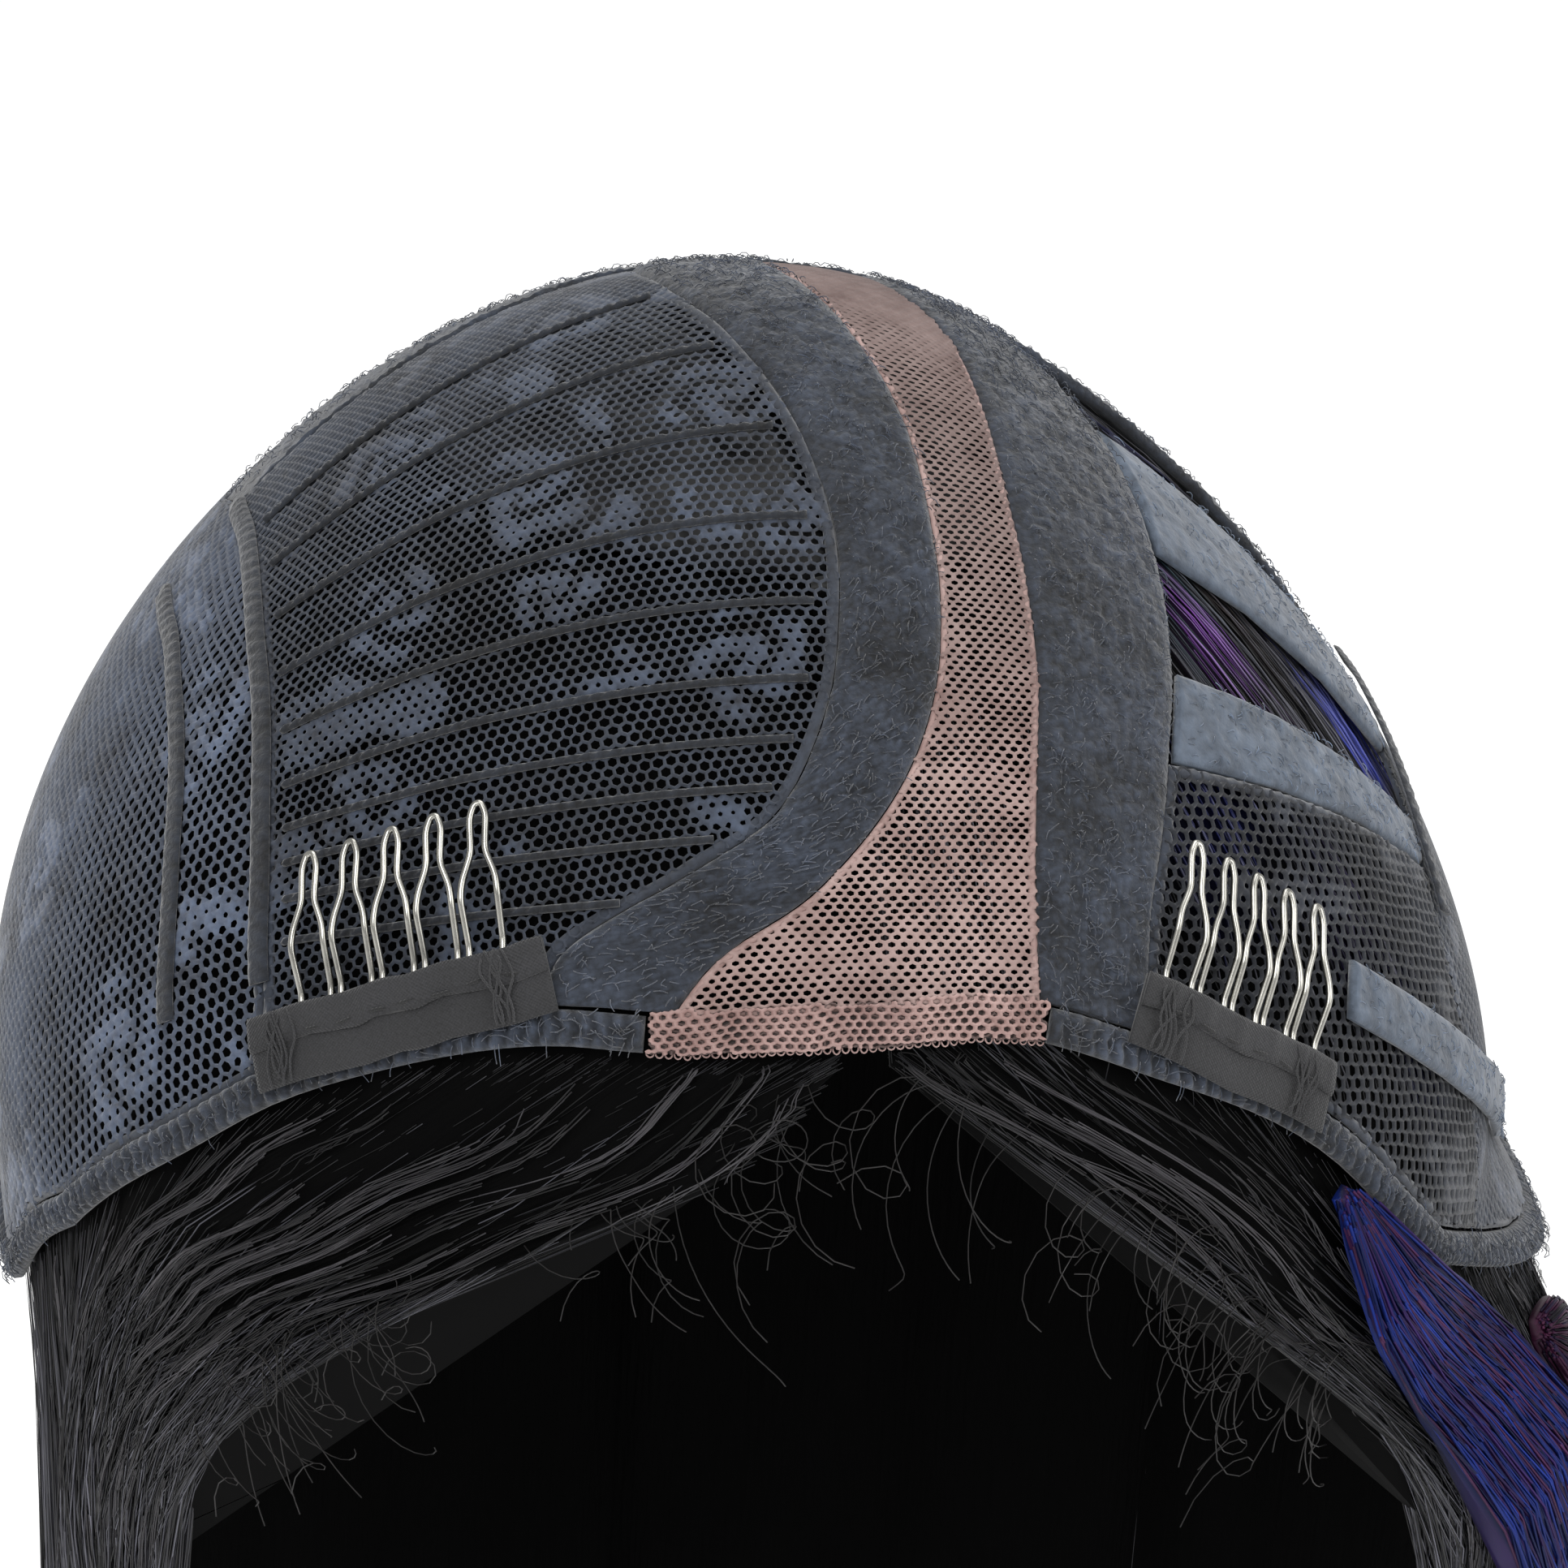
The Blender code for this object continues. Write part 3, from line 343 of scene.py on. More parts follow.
class Workpiece:
    """Surfaces of one piece, gathered as arrays and put into one mesh."""

    def __init__(self, form: HeadForm) -> None:
        """Starts an empty piece about the form's centre."""
        self.form = form
        self.points: list[Array] = []
        self.places: list[Array] = []
        self.tints: list[Array] = []
        self.faces: list[Array] = []
        self.count = 0

    def add(self, points: Array, faces: list[Array], places: Array, tint: Array | tuple = (1.0, 1.0, 1.0)) -> None:
        """Adds vertices with their places on the cloth and tints, and faces that count from the first of them."""
        points = points.reshape(-1, 3)
        self.points.append(points)
        self.places.append(np.broadcast_to(places.reshape(-1, 2), (len(points), 2)))
        self.tints.append(np.broadcast_to(np.asarray(tint, float).reshape(-1, 3), (len(points), 3)))
        self.faces.extend(face + self.count for face in faces if len(face))
        self.count += len(points)

    def slab(self, grid: Array, low: Array | float, high: Array | float, tint: Array | tuple = (1.0, 1.0, 1.0),
             step: int = 1) -> None:
        """Adds a closed wall over a grid on the form: its top at the high lift, its back at the low lift.

        Args:
            grid: Points on the form, rows along and columns across.
            low: Lifts of the inner surface.
            high: Lifts of the outer surface.
            tint: One tint, or one for each point of the grid.
            step: Grid steps to one step of the plainer back, a divisor of both of the grid's counts.
        """
        rows, columns = grid.shape[:2]
        low, high = np.broadcast_to(low, (rows, columns)), np.broadcast_to(high, (rows, columns))
        index = np.arange(rows * columns).reshape(rows, columns)
        back = np.arange(((rows - 1) // step + 1) * ((columns - 1) // step + 1)).reshape(-1, (columns - 1) // step + 1)
        back += rows * columns
        edge = np.concatenate([index[0, :-1], index[:-1, -1], index[-1, :0:-1], index[:0:-1, 0]])
        below = np.concatenate([back[0, :-1], back[:-1, -1], back[-1, :0:-1], back[:0:-1, 0]])
        stretch = edge[(np.arange(0, len(edge), step)[:, None] + np.arange(step, -1, -1)) % len(edge)]
        rim = np.column_stack([stretch, below, np.roll(below, -1)])
        along = np.concatenate([[0.0], np.cumsum(np.linalg.norm(np.diff(grid[:, columns // 2], axis=0), axis=1))])
        across = np.concatenate([[0.0], np.cumsum(np.linalg.norm(np.diff(grid[rows // 2], axis=0), axis=1))])
        places = np.stack(np.broadcast_arrays(across[None, :], along[:, None]), axis=-1)
        tint = np.broadcast_to(np.asarray(tint, float), (rows, columns, 3))
        inner = (slice(None, None, step), slice(None, None, step))
        points = np.vstack([
            self.form.on_form(grid, high).reshape(-1, 3), self.form.on_form(grid, low)[inner].reshape(-1, 3)
        ])
        faces = [quads_of(index), quads_of(back)[:, ::-1], rim]
        near = grid[(rows - 1) // 2, (columns - 1) // 2]
        right, on = grid[(rows - 1) // 2, (columns - 1) // 2 + 1], grid[(rows - 1) // 2 + 1, (columns - 1) // 2]
        if np.cross(right - near, on - near) @ self.form.out(near) < 0.0:
            faces = [face[:, ::-1] for face in faces]
        self.add(
            points,
            faces,
            np.vstack([places.reshape(-1, 2), places[inner].reshape(-1, 2)]),
            np.vstack([tint.reshape(-1, 3), tint[inner].reshape(-1, 3)]),
        )

    def tubes(self, paths: Array, radius: Array | float, sides: int, tint: Array | tuple = (1.0, 1.0, 1.0),
              flatten: float = 1.0) -> None:
        """Adds tubes with closed ends: a ring of sides points carried square to each path.

        Args:
            paths: Points about the dome's centre, one row for each tube.
            radius: Radii, one for all or one for each point of a path.
            sides: Points of the ring.
            tint: One tint, one for each tube, or one for each point.
            flatten: Height of the ring over its width.
        """
        many, along = paths.shape[:2]
        ahead = unit(np.gradient(paths, axis=1))
        side = unit(np.cross(ahead, self.form.out(paths)))
        over = np.cross(side, ahead)
        angle = 2.0 * math.pi * np.arange(sides) / sides + math.pi / 2.0
        radius = np.broadcast_to(radius, (many, along))[..., None, None]
        ring = np.cos(angle)[:, None] * side[:, :, None] + flatten * np.sin(angle)[:, None] * over[:, :, None]
        points = paths[:, :, None] + radius * ring
        index = np.arange(many * along * sides).reshape(many, along, sides)
        around = np.roll(index, -1, axis=2)
        quads = np.stack([index[:, :-1], around[:, :-1], around[:, 1:], index[:, 1:]], axis=-1).reshape(-1, 4)
        ends = [index[:, 0, ::-1], index[:, -1]]
        run = np.concatenate([np.zeros((many, 1)), np.cumsum(np.linalg.norm(np.diff(paths, axis=1), axis=2), axis=1)], axis=1)
        turn = np.broadcast_to(np.arange(sides) / sides * 0.001, (many, along, sides))
        places = np.stack([turn, np.broadcast_to(run[..., None], turn.shape)], axis=-1)
        tint = np.asarray(tint, float)
        if tint.ndim == 2:
            tint = tint[:, None, None, :]
        elif tint.ndim == 3:
            tint = tint[:, :, None, :]
        self.add(points, [quads, *ends], places, np.broadcast_to(tint, (many, along, sides, 3)))

    def build(self, name: str, finish: "Finish", replaced: tuple[str, ...] = (), body: str = "root") -> bpy.types.Object:
        """Puts the gathered surfaces into one mesh object, finishes it and lets it ride on a body.

        Args:
            name: The piece's name.
            finish: The finish that its material comes from.
            replaced: CAD nodes that it stands for.
            body: The body that it rides on.

        Returns:
            The object, at the origin with its place in its mesh.
        """
        points = np.vstack(self.points) + self.form.centre
        places, tints = np.vstack(self.places), np.vstack(self.tints)
        corners = np.concatenate([face.ravel() for face in self.faces])
        sizes = np.concatenate([np.full(len(face), face.shape[1]) for face in self.faces])
        data = bpy.data.meshes.new(name)
        data.vertices.add(len(points))
        data.vertices.foreach_set("co", points.ravel())
        data.loops.add(len(corners))
        data.loops.foreach_set("vertex_index", corners)
        data.polygons.add(len(sizes))
        data.polygons.foreach_set("loop_start", np.concatenate([[0], np.cumsum(sizes)[:-1]]))
        data.update(calc_edges=True)
        data.validate()
        data.uv_layers.new(name="cloth").data.foreach_set("uv", places[corners].ravel())
        tint = data.color_attributes.new("tint", "FLOAT_COLOR", "POINT")
        tint.data.foreach_set("color", np.column_stack([tints, np.ones(len(tints))]).ravel())
        data.shade_smooth()
        data.materials.append(finish.material())
        made = bpy.data.objects.new(name, data)
        bpy.context.scene.collection.objects.link(made)
        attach(made, body)
        if replaced:
            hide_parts(*replaced)
        LOG.info("%s: %d faces", name, len(sizes))
        return made


def quads_of(index: Array) -> Array:
    """The quads between neighbouring entries of a grid of vertex numbers."""
    return np.stack([index[:-1, :-1], index[:-1, 1:], index[1:, 1:], index[1:, :-1]], axis=-1).reshape(-1, 4)


def inside(places: Array, outline: Array) -> Array:
    """Which places lie inside a closed outline, by counting the edges that a level ray crosses."""
    x, y = places[:, 0][:, None], places[:, 1][:, None]
    start, end = outline, np.roll(outline, -1, axis=0)
    crosses = (start[:, 1] > y) != (end[:, 1] > y)
    slope = (end[:, 0] - start[:, 0]) / np.where(end[:, 1] == start[:, 1], 1e-12, end[:, 1] - start[:, 1])
    return (crosses & (x < slope * (y - start[:, 1]) + start[:, 0])).sum(axis=1) % 2 == 1


def put(tree: bpy.types.NodeTree, kind: str, sockets: dict | None = None, **settings: object) -> bpy.types.Node:
    """Adds a node.

    Args:
        tree: The material's node tree.
        kind: The node's type.
        sockets: Values or other nodes' outputs for its inputs, by name or number.
        settings: Values of the node's own settings.

    Returns:
        The node.
    """
    made = tree.nodes.new(kind)
    for name, value in settings.items():
        setattr(made, name, value)
    for key, value in (sockets or {}).items():
        if isinstance(value, bpy.types.NodeSocket):
            tree.links.new(value, made.inputs[key])
        else:
            made.inputs[key].default_value = value
    return made


@dataclass(frozen=True)
class Finish:
    """A finish: two colours mixed by fine grain and broad patches, with relief, times the piece's tint."""

    name: str
    slot: Slot
    dark: str
    light: str
    roughness: float
    grain: float
    patch: float = 0.012
    sheen: float = 0.0
    metallic: float = 0.0
    relief: float = 0.0
    stretch: tuple = (1.0, 1.0, 1.0)
    contrast: float = 1.0
    by_cloth: bool = False
    specular: float = 0.5

    def material(self) -> bpy.types.Material:
        """The material, made once."""
        found = bpy.data.materials.get(self.name)
        if found:
            return found
        made = bpy.data.materials.new(self.name)
        made.use_nodes = True
        tree = made.node_tree
        shader = tree.nodes["Principled BSDF"]
        where = put(tree, "ShaderNodeTexCoord").outputs["UV" if self.by_cloth else "Object"]
        fine = put(tree, "ShaderNodeMapping", {"Vector": where, "Scale": tuple(s / self.grain for s in self.stretch)})
        grain = put(tree, "ShaderNodeTexNoise", {"Vector": fine.outputs[0], "Scale": 1.0, "Detail": 3.0})
        broad = put(tree, "ShaderNodeMapping", {"Vector": where, "Scale": (1.0 / self.patch,) * 3})
        patch = put(tree, "ShaderNodeTexNoise", {"Vector": broad.outputs[0], "Scale": 1.0, "Detail": 2.0})
        height = self.pattern(tree, where, grain.outputs["Fac"])
        both = put(tree, "ShaderNodeMath", {0: height, 1: patch.outputs["Fac"]}, operation="ADD")
        low, high = 1.0 - 0.42 / self.contrast, 1.0 + 0.42 / self.contrast
        share = put(tree, "ShaderNodeMapRange", {"Value": both.outputs[0], "From Min": low, "From Max": high})
        base = put(
            tree,
            "ShaderNodeMix",
            {0: share.outputs[0], 6: (*linear(self.dark), 1.0), 7: (*linear(self.light), 1.0)},
            data_type="RGBA",
        )
        tint = put(tree, "ShaderNodeVertexColor", layer_name="tint")
        mixed = put(
            tree,
            "ShaderNodeMix",
            {0: 1.0, 6: base.outputs[2], 7: tint.outputs["Color"]},
            data_type="RGBA",
            blend_type="MULTIPLY",
            clamp_result=False,
        )
        tree.links.new(mixed.outputs[2], shader.inputs["Base Color"])
        if self.relief:
            bump = put(
                tree, "ShaderNodeBump", {"Height": height, "Distance": self.relief, "Strength": 1.0}
            )
            tree.links.new(bump.outputs[0], shader.inputs["Normal"])
        shader.inputs["Roughness"].default_value = self.roughness
        shader.inputs["Metallic"].default_value = self.metallic
        shader.inputs["Specular IOR Level"].default_value = self.specular
        shader.inputs["Sheen Weight"].default_value = self.sheen
        shader.inputs["Sheen Roughness"].default_value = 0.5
        return made

    def pattern(self, tree: bpy.types.NodeTree, where: bpy.types.NodeSocket,
                grain: bpy.types.NodeSocket) -> bpy.types.NodeSocket:
        """The finish's pattern, from 0 to 1: here its grain alone."""
        return grain


@dataclass(frozen=True)
class Grosgrain(Finish):
    """Woven ribbon: cross ribs with warp threads between them."""

    rib: float = 0.00045
    warp: float = 0.00040

    def pattern(self, tree: bpy.types.NodeTree, where: bpy.types.NodeSocket,
                grain: bpy.types.NodeSocket) -> bpy.types.NodeSocket:
        """Cross ribs and warps as two sets of waves, the higher of which shows, less a little grain."""
        split = put(tree, "ShaderNodeSeparateXYZ", {0: where})
        waves = []
        for output, pitch in ((split.outputs[0], self.warp), (split.outputs[1], self.rib)):
            turn = put(tree, "ShaderNodeMath", {0: output, 1: 2.0 * math.pi / pitch}, operation="MULTIPLY")
            waves.append(put(tree, "ShaderNodeMath", {0: turn.outputs[0]}, operation="SINE").outputs[0])
        crossed = put(tree, "ShaderNodeMath", {0: waves[0], 1: waves[1]}, operation="MULTIPLY")
        scaled = put(tree, "ShaderNodeMath", {0: crossed.outputs[0], 1: 0.22, 2: grain}, operation="MULTIPLY_ADD")
        return scaled.outputs[0]


# Polyester warp-knit net: matt black threads with a slate bloom of loose fibre
NET_THREAD = Finish("polyester_net", Slot.NET, "#101218", "#363d4a", 0.88, 0.0011, sheen=0.3, relief=0.00012)
# Brushed stretch knit: a deep pile that scatters light; the darker pits between its stitches are painted shade in the
# pieces' tints
BRUSHED_KNIT = Finish("brushed_knit", Slot.KNIT, "#0c0e13", "#343b48", 0.95, 0.0009, sheen=0.3, relief=0.00025,
                      contrast=1.3)
# Monofilament lace: skin-toned nylon threads, slightly glossy, darker where hair crosses them
SKIN_LACE = Finish("skin_lace", Slot.LACE, "#81655f", "#bca29c", 0.64, 0.0020, sheen=0.1)
# Brushed elastic strap: felt-like, mottled grey blue
FELT_STRAP = Finish("brushed_elastic", Slot.STRAP, "#303741", "#5b6675", 0.92, 0.0016, patch=0.006, sheen=0.25,
                    relief=0.0003)
# Grosgrain ribbon: fine cross ribs, half matt
GROSGRAIN = Grosgrain("grosgrain_ribbon", Slot.RIBBON, "#0b0b0c", "#262629", 0.80, 0.0004, by_cloth=True,
                      sheen=0.15, relief=0.00015)
# Spring steel wire: bright drawn metal with soft highlights along it
SPRING_STEEL = Finish("spring_steel", Slot.STEEL, "#8c8b86", "#c4c2ba", 0.26, 0.0030, metallic=1.0)
# Synthetic hair fibre: smooth filaments that shine in a long narrow line; the strands' tints give the colour, with a
# painted highlight on some strands
HAIR_FIBRE = Finish("hair_fibre", Slot.HAIR, "#7a7a7a", "#ffffff", 0.40, 0.0010, stretch=(1.0, 0.05, 1.0),
                    by_cloth=True, relief=0.0002, specular=0.34)
# The depth of the hair: a darker copy of the hair fibre, painted shade for fibres packed so close that hardly any light
# comes back from between them
HAIR_MASS_PAINTED_SHADE = Finish("hair_mass_painted_shade", Slot.HAIR, "#202020", "#808080", 0.78, 0.0010, stretch=(1.0, 0.05, 1.0),
                   by_cloth=True, relief=0.0004, specular=0.06)
BLUE_FIBRE = Finish("blue_hair_fibre", Slot.BLUE_HAIR, "#8a8a8a", "#ffffff", 0.48, 0.0009,
                    stretch=(1.0, 0.05, 1.0), by_cloth=True, specular=0.12)
MAGENTA_FIBRE = Finish("magenta_hair_fibre", Slot.MAGENTA_HAIR, "#8a8a8a", "#ffffff", 0.48, 0.0009,
                       stretch=(1.0, 0.05, 1.0), by_cloth=True, specular=0.12)


@dataclass(frozen=True)
class CapPlan:
    """Where the cap's seams, edges and clips lie on the form, as in the frame."""

    form: HeadForm = HeadForm()
    seam_left: float = -43.0
    seam_left_2: float = -52.0
    seam_right: float = 60.0
    crown_front: float = 108.0
    crown_back: float = 120.0
    strap_a: tuple = (71.5, 88.0)
    strap_b: tuple = (49.5, 58.5)
    lace_feet: tuple = (-16.5, 14.0)
    band_feet: tuple = (-24.0, 22.0)
    seam_feet: tuple = (-47.0, 60.0)
    nape_foot: float = 118.0
    seam_gap: float = 0.0007
    rim_width: float = 0.0040
    hem_width: float = 0.0035
    lace_left: tuple = (
        (-10, 34), (-3, 38.5), (3, 45), (6.5, 52), (8, 60), (8, 69), (7, 78), (4.5, 87), (2, 97), (1, 108),
    )
    lace_right: tuple = (
        (13, 38), (14, 47), (15, 55), (15, 65), (14.5, 72), (14, 81), (13, 91), (10.5, 100), (9, 108),
    )
    band_left: tuple = (
        (-20.5, 35), (-11, 40.5), (-5, 44.5), (-1, 52), (0.5, 59), (1, 66), (0, 73), (-1.5, 79), (-4, 86),
        (-7, 97), (-8, 108),
    )
    band_right_low: tuple = ((22, 36), (24, 43), (25.5, 49.5))
    band_right_high: tuple = ((26.5, 54), (27.5, 60), (28, 70), (27, 82), (24, 92), (20, 102), (18, 108))

    @property
    def band_right(self) -> tuple:
        """The outer edge of the right knit band."""
        return self.band_right_low + self.band_right_high

    def seam(self, side: float, angles: tuple, foot: float, count: int) -> Array:
        """An upright seam from its foot at the rim through angles over the head."""
        return self.form.over_line([(side, angle) for angle in angles], count, start=self.form.rim_point(foot))

    def nape(self, side: float, foot: float, count: int) -> Array:
        """The line from the back of the crown band to the rim behind an ear."""
        return self.form.over_line(((side, self.crown_back),), count, end=self.form.rim_point(foot))

    def back(self, count: int) -> Array:
        """The middle of the back, from the crown band to the rim."""
        form = self.form
        return form.line([form.over(0.0, self.crown_back), form.over(0.0, 150.0), form.rim_point(180.0)], count)

    def panel(self, name: str, along: int, across: int, extra: float = 0.0) -> Array:
        """A panel's grid, drawn in from its seams and from the rim.

        Args:
            name: The panel's name.
            along: Stretches along the panel.
            across: Stretches across it.
            extra: A further distance inside all of its edges.

        Returns:
            Points on the form, rows along and columns across.
        """
        form, front, back = self.form, self.crown_front, self.crown_back
        half, rim, hem = self.seam_gap / 2, self.rim_width + self.seam_gap, self.hem_width + self.seam_gap
        over, side, foot = form.over_line, form.side_line, form.rim_point
        lace_tops = (self.lace_left[-1][0], self.lace_right[-1][0])
        band_tops = (self.band_left[-1][0], self.band_right[-1][0])
        left, right = self.seam_left, self.seam_right
        if name == "lace_part":
            borders = (
                form.rim_line(*self.lace_feet, across), side(*lace_tops, front, across),
                over(self.lace_left, along, foot(self.lace_feet[0])),
                over(self.lace_right, along, foot(self.lace_feet[1])),
            )
            cuts = (hem, half, half, half)
        elif name == "part_band_left":
            borders = (
                form.rim_line(self.band_feet[0], self.lace_feet[0], across),
                side(band_tops[0], lace_tops[0], front, across),
                over(self.band_left, along, foot(self.band_feet[0])),
                over(self.lace_left, along, foot(self.lace_feet[0])),
            )
            cuts = (rim, half, half, half)
        elif name == "part_band_right":
            borders = (
                form.rim_line(self.lace_feet[1], self.band_feet[1], across),
                side(lace_tops[1], band_tops[1], front, across),
                over(self.lace_right, along, foot(self.lace_feet[1])),
                over(self.band_right, along, foot(self.band_feet[1])),
            )
            cuts = (rim, half, half, half)
        elif name == "crown_band":
            borders = (
                side(left, right, front, across), side(left, right, back, across),
                over([(left, front), (left, back)], along), over([(right, front), (right, back)], along),
            )
            cuts = (half, half, half, half)
        elif name == "crown_net_left":
            borders = (
                form.rim_line(self.seam_feet[0], self.band_feet[0], across),
                side(left, band_tops[0], front, across),
                self.seam(left, (32, 60, 85, front), self.seam_feet[0], along),
                over(self.band_left, along, foot(self.band_feet[0])),
            )
            cuts = (rim, half, half, half)
        elif name == "crown_net_right":
            borders = (
                form.rim_line(self.band_feet[1], self.seam_feet[1], across),
                side(self.band_right_low[-1][0], right, self.strap_b[0], across),
                over(self.band_right_low, along, foot(self.band_feet[1])),
                self.seam(right, (15, 35, self.strap_b[0]), self.seam_feet[1], along),
            )
            cuts = (rim, half, half, half)
        elif name == "side_net_left":
            borders = (
                over([(left, front), (left, back)], across), form.rim_line(self.seam_feet[0], -self.nape_foot, across),
                self.seam(left, (32, 60, 85, front), self.seam_feet[0], along)[::-1],
                self.nape(left, -self.nape_foot, along),
            )
            cuts = (half, rim, half, half)
        elif name == "side_net_right":
            borders = (
                over([(right, front), (right, back)], across), form.rim_line(self.seam_feet[1], self.nape_foot, across),
                self.seam(right, (15, 35, self.strap_b[0], 70, 90, front), self.seam_feet[1], along)[::-1],
                self.nape(right, self.nape_foot, along),
            )
            cuts = (half, rim, half, half)
        elif name == "back_net_left":
            borders = (
                side(left, 0.0, back, across), form.rim_line(-self.nape_foot, -180.0, across),
                self.nape(left, -self.nape_foot, along), self.back(along),
            )
            cuts = (half, rim, half, half)
        else:
            borders = (
                side(0.0, right, back, across), form.rim_line(180.0, self.nape_foot, across),
                self.back(along), self.nape(right, self.nape_foot, along),
            )
            cuts = (half, rim, half, half)
        return form.trim(form.patch(*borders), *(cut + extra - half * 0.8 for cut in cuts))


@dataclass(frozen=True)
class Honeycomb:
    """Warp-knit net: six-sided cells between threads of a roof-shaped section."""

    pitch: float
    flatten: float
    thread: float
    low: float
    high: float
    waver: float = 0.12
    fade: tuple = ((0.0, 1.0), (180.0, 1.0))

    def weave(self, piece: Workpiece, chart: Chart, outline: Array, closed: "RosePattern | None", tint: Array | tuple,
              seed: int) -> None:
        """Adds the net to a piece.

        Each cell owns its top and bottom knot. A knot has a ridge point and three corner points between its
        threads; each thread is two slopes from the ridge down to the corners at its two sides.

        Args:
            piece: The piece that takes the net.
            chart: The flat map that the cells are laid out on.
            outline: Points on the form round the net.
            closed: Where the knit closes the cells, or None for a plain net.
            tint: The threads' tint.
            seed: Seed of the threads' unevenness.
        """
        border = chart.to_flat(outline)
        lowest, highest = border.min(axis=0), border.max(axis=0)
        rise = self.pitch * math.sqrt(3.0) / 2.0 * self.flatten
        columns = int((highest[0] - lowest[0]) / self.pitch) + 4
        rows = int((highest[1] - lowest[1]) / rise) + 4
        column, row = np.meshgrid(np.arange(columns), np.arange(rows), indexing="ij")
        middle = np.stack([(column + row % 2 / 2.0) * self.pitch, row * rise], axis=-1) + lowest - self.pitch
        knots = np.stack([middle + [0.0, rise * 2 / 3], middle - [0.0, rise * 2 / 3]])
        shut = np.zeros(knots.shape[:-1]) if closed is None else closed.share(knots)
        width = self.thread + (0.44 * self.pitch - self.thread) * shut
        width = width * (1.0 + 0.25 * wander(knots[..., 0] / 0.0031, knots[..., 1] / 0.0031, seed + 5))
        angles = np.radians([[30.0, 270.0, 150.0], [-30.0, 90.0, 210.0]])
        ways = np.stack([np.cos(angles), np.sin(angles)], axis=-1)[:, None, None]
        corners = knots[..., None, :] + ways * (width / math.sin(math.pi / 3.0))[..., None, None] * [1.0, self.flatten]
        flat = np.concatenate([knots[..., None, :], corners], axis=-2)
        shift = [wander(flat[..., 0] / 0.004, flat[..., 1] / 0.004, seed + at) for at in (1, 2)]
        flat = flat + np.stack(shift, axis=-1) * self.waver * self.pitch
        kept = inside(flat[..., 0, :].reshape(-1, 2), border).reshape(knots.shape[:-1])
        number = np.arange(flat[..., 0].size).reshape(flat.shape[:-1])
        threads = []
        for across, up, over in ((0, 2, "upright"), (0, 1, "right"), (-1, 1, "left")):
            ends = row + up
            beside = column + across + (row % 2 if up == 1 else 0)
            fits = (ends < rows) & (beside >= 0) & (beside < columns)
            top = number[0][fits]
            bottom = number[1][beside[fits], ends[fits]]
            both = kept[0][fits] & kept[1][beside[fits], ends[fits]]
            top, bottom = top[both], bottom[both]
            if over == "upright":
                slopes = ((top[:, 1], bottom[:, 1], bottom[:, 0], top[:, 0]), (top[:, 0], bottom[:, 0], bottom[:, 3], top[:, 3]))
            elif over == "right":
                slopes = ((top[:, 0], bottom[:, 0], bottom[:, 2], top[:, 1]), (top[:, 2], bottom[:, 3], bottom[:, 0], top[:, 0]))
            else:
                slopes = ((bottom[:, 0], top[:, 0], top[:, 3], bottom[:, 2]), (bottom[:, 1], top[:, 2], top[:, 0], bottom[:, 0]))
            threads.extend(np.stack(slope, axis=1) for slope in slopes)
        faces = np.vstack(threads)
        used, faces = np.unique(faces, return_inverse=True)
        faces = faces.reshape(-1, 4)
        places = flat.reshape(-1, 2)[used]
        ridge = np.zeros(flat.shape[:-1])
        ridge[..., 0] = 1.0
        lift = (self.low + (self.high - self.low) * ridge).ravel()[used]
        points = chart.form.on_form(chart.to_form(places), lift)
        angle = np.degrees(np.arctan2(points[:, 2], -points[:, 1]))
        shade = np.asarray(tint, float) * follow(angle, self.fade)[:, None]
        if closed is not None:
            share = np.broadcast_to(shut[..., None], flat.shape[:-1]).ravel()[used]
            shade = shade * (1.0 + share[:, None] * np.array(closed.bloom))
        piece.add(points, [faces], places, shade)


@dataclass(frozen=True)
class RosePattern:
    """Woven roses of a stretch net: places where the knit closes, petal by petal, with loose leaves between."""

    roses: tuple
    seed: int
    leaf: float = 0.0085
    leaves: float = 0.42
    bloom: tuple = (0.80, 0.90, 1.02)
    fill: float = 0.60

    def share(self, places: Array) -> Array:
        """How closed the knit is, from 0 to 1.

        A rose is closed between its spiral veins: where the sine of three turns from its middle, less twice the
        angle, is above a level, inside a rim of five petals. Leaves are the high parts of a random field.
        """
        field_high = wander(places[..., 0] / self.leaf, places[..., 1] / (self.leaf * 0.7), self.seed)
        field_fine = wander(places[..., 0] / 0.0023, places[..., 1] / 0.0023, self.seed + 1)
        total = smooth((field_high + 0.30 * field_fine - self.leaves) / 0.26)
        for x, y, radius, turn in self.roses:
            away = places - np.array([x, y])
            far = np.linalg.norm(away, axis=-1) / radius
            angle = np.arctan2(away[..., 1], away[..., 0]) + turn
            edge = 0.85 + 0.13 * np.cos(5.0 * angle)
            veins = np.sin(2.0 * math.pi * 1.7 * far - 2.0 * angle + 0.8 * np.cos(3.0 * angle)) + 0.3 * field_fine
            petals = smooth((edge - far) / 0.20) * smooth((veins + 0.60) / 0.75)
            total = np.where(far < 1.05, petals, total)
        return self.fill * np.clip(total, 0.0, 1.0)


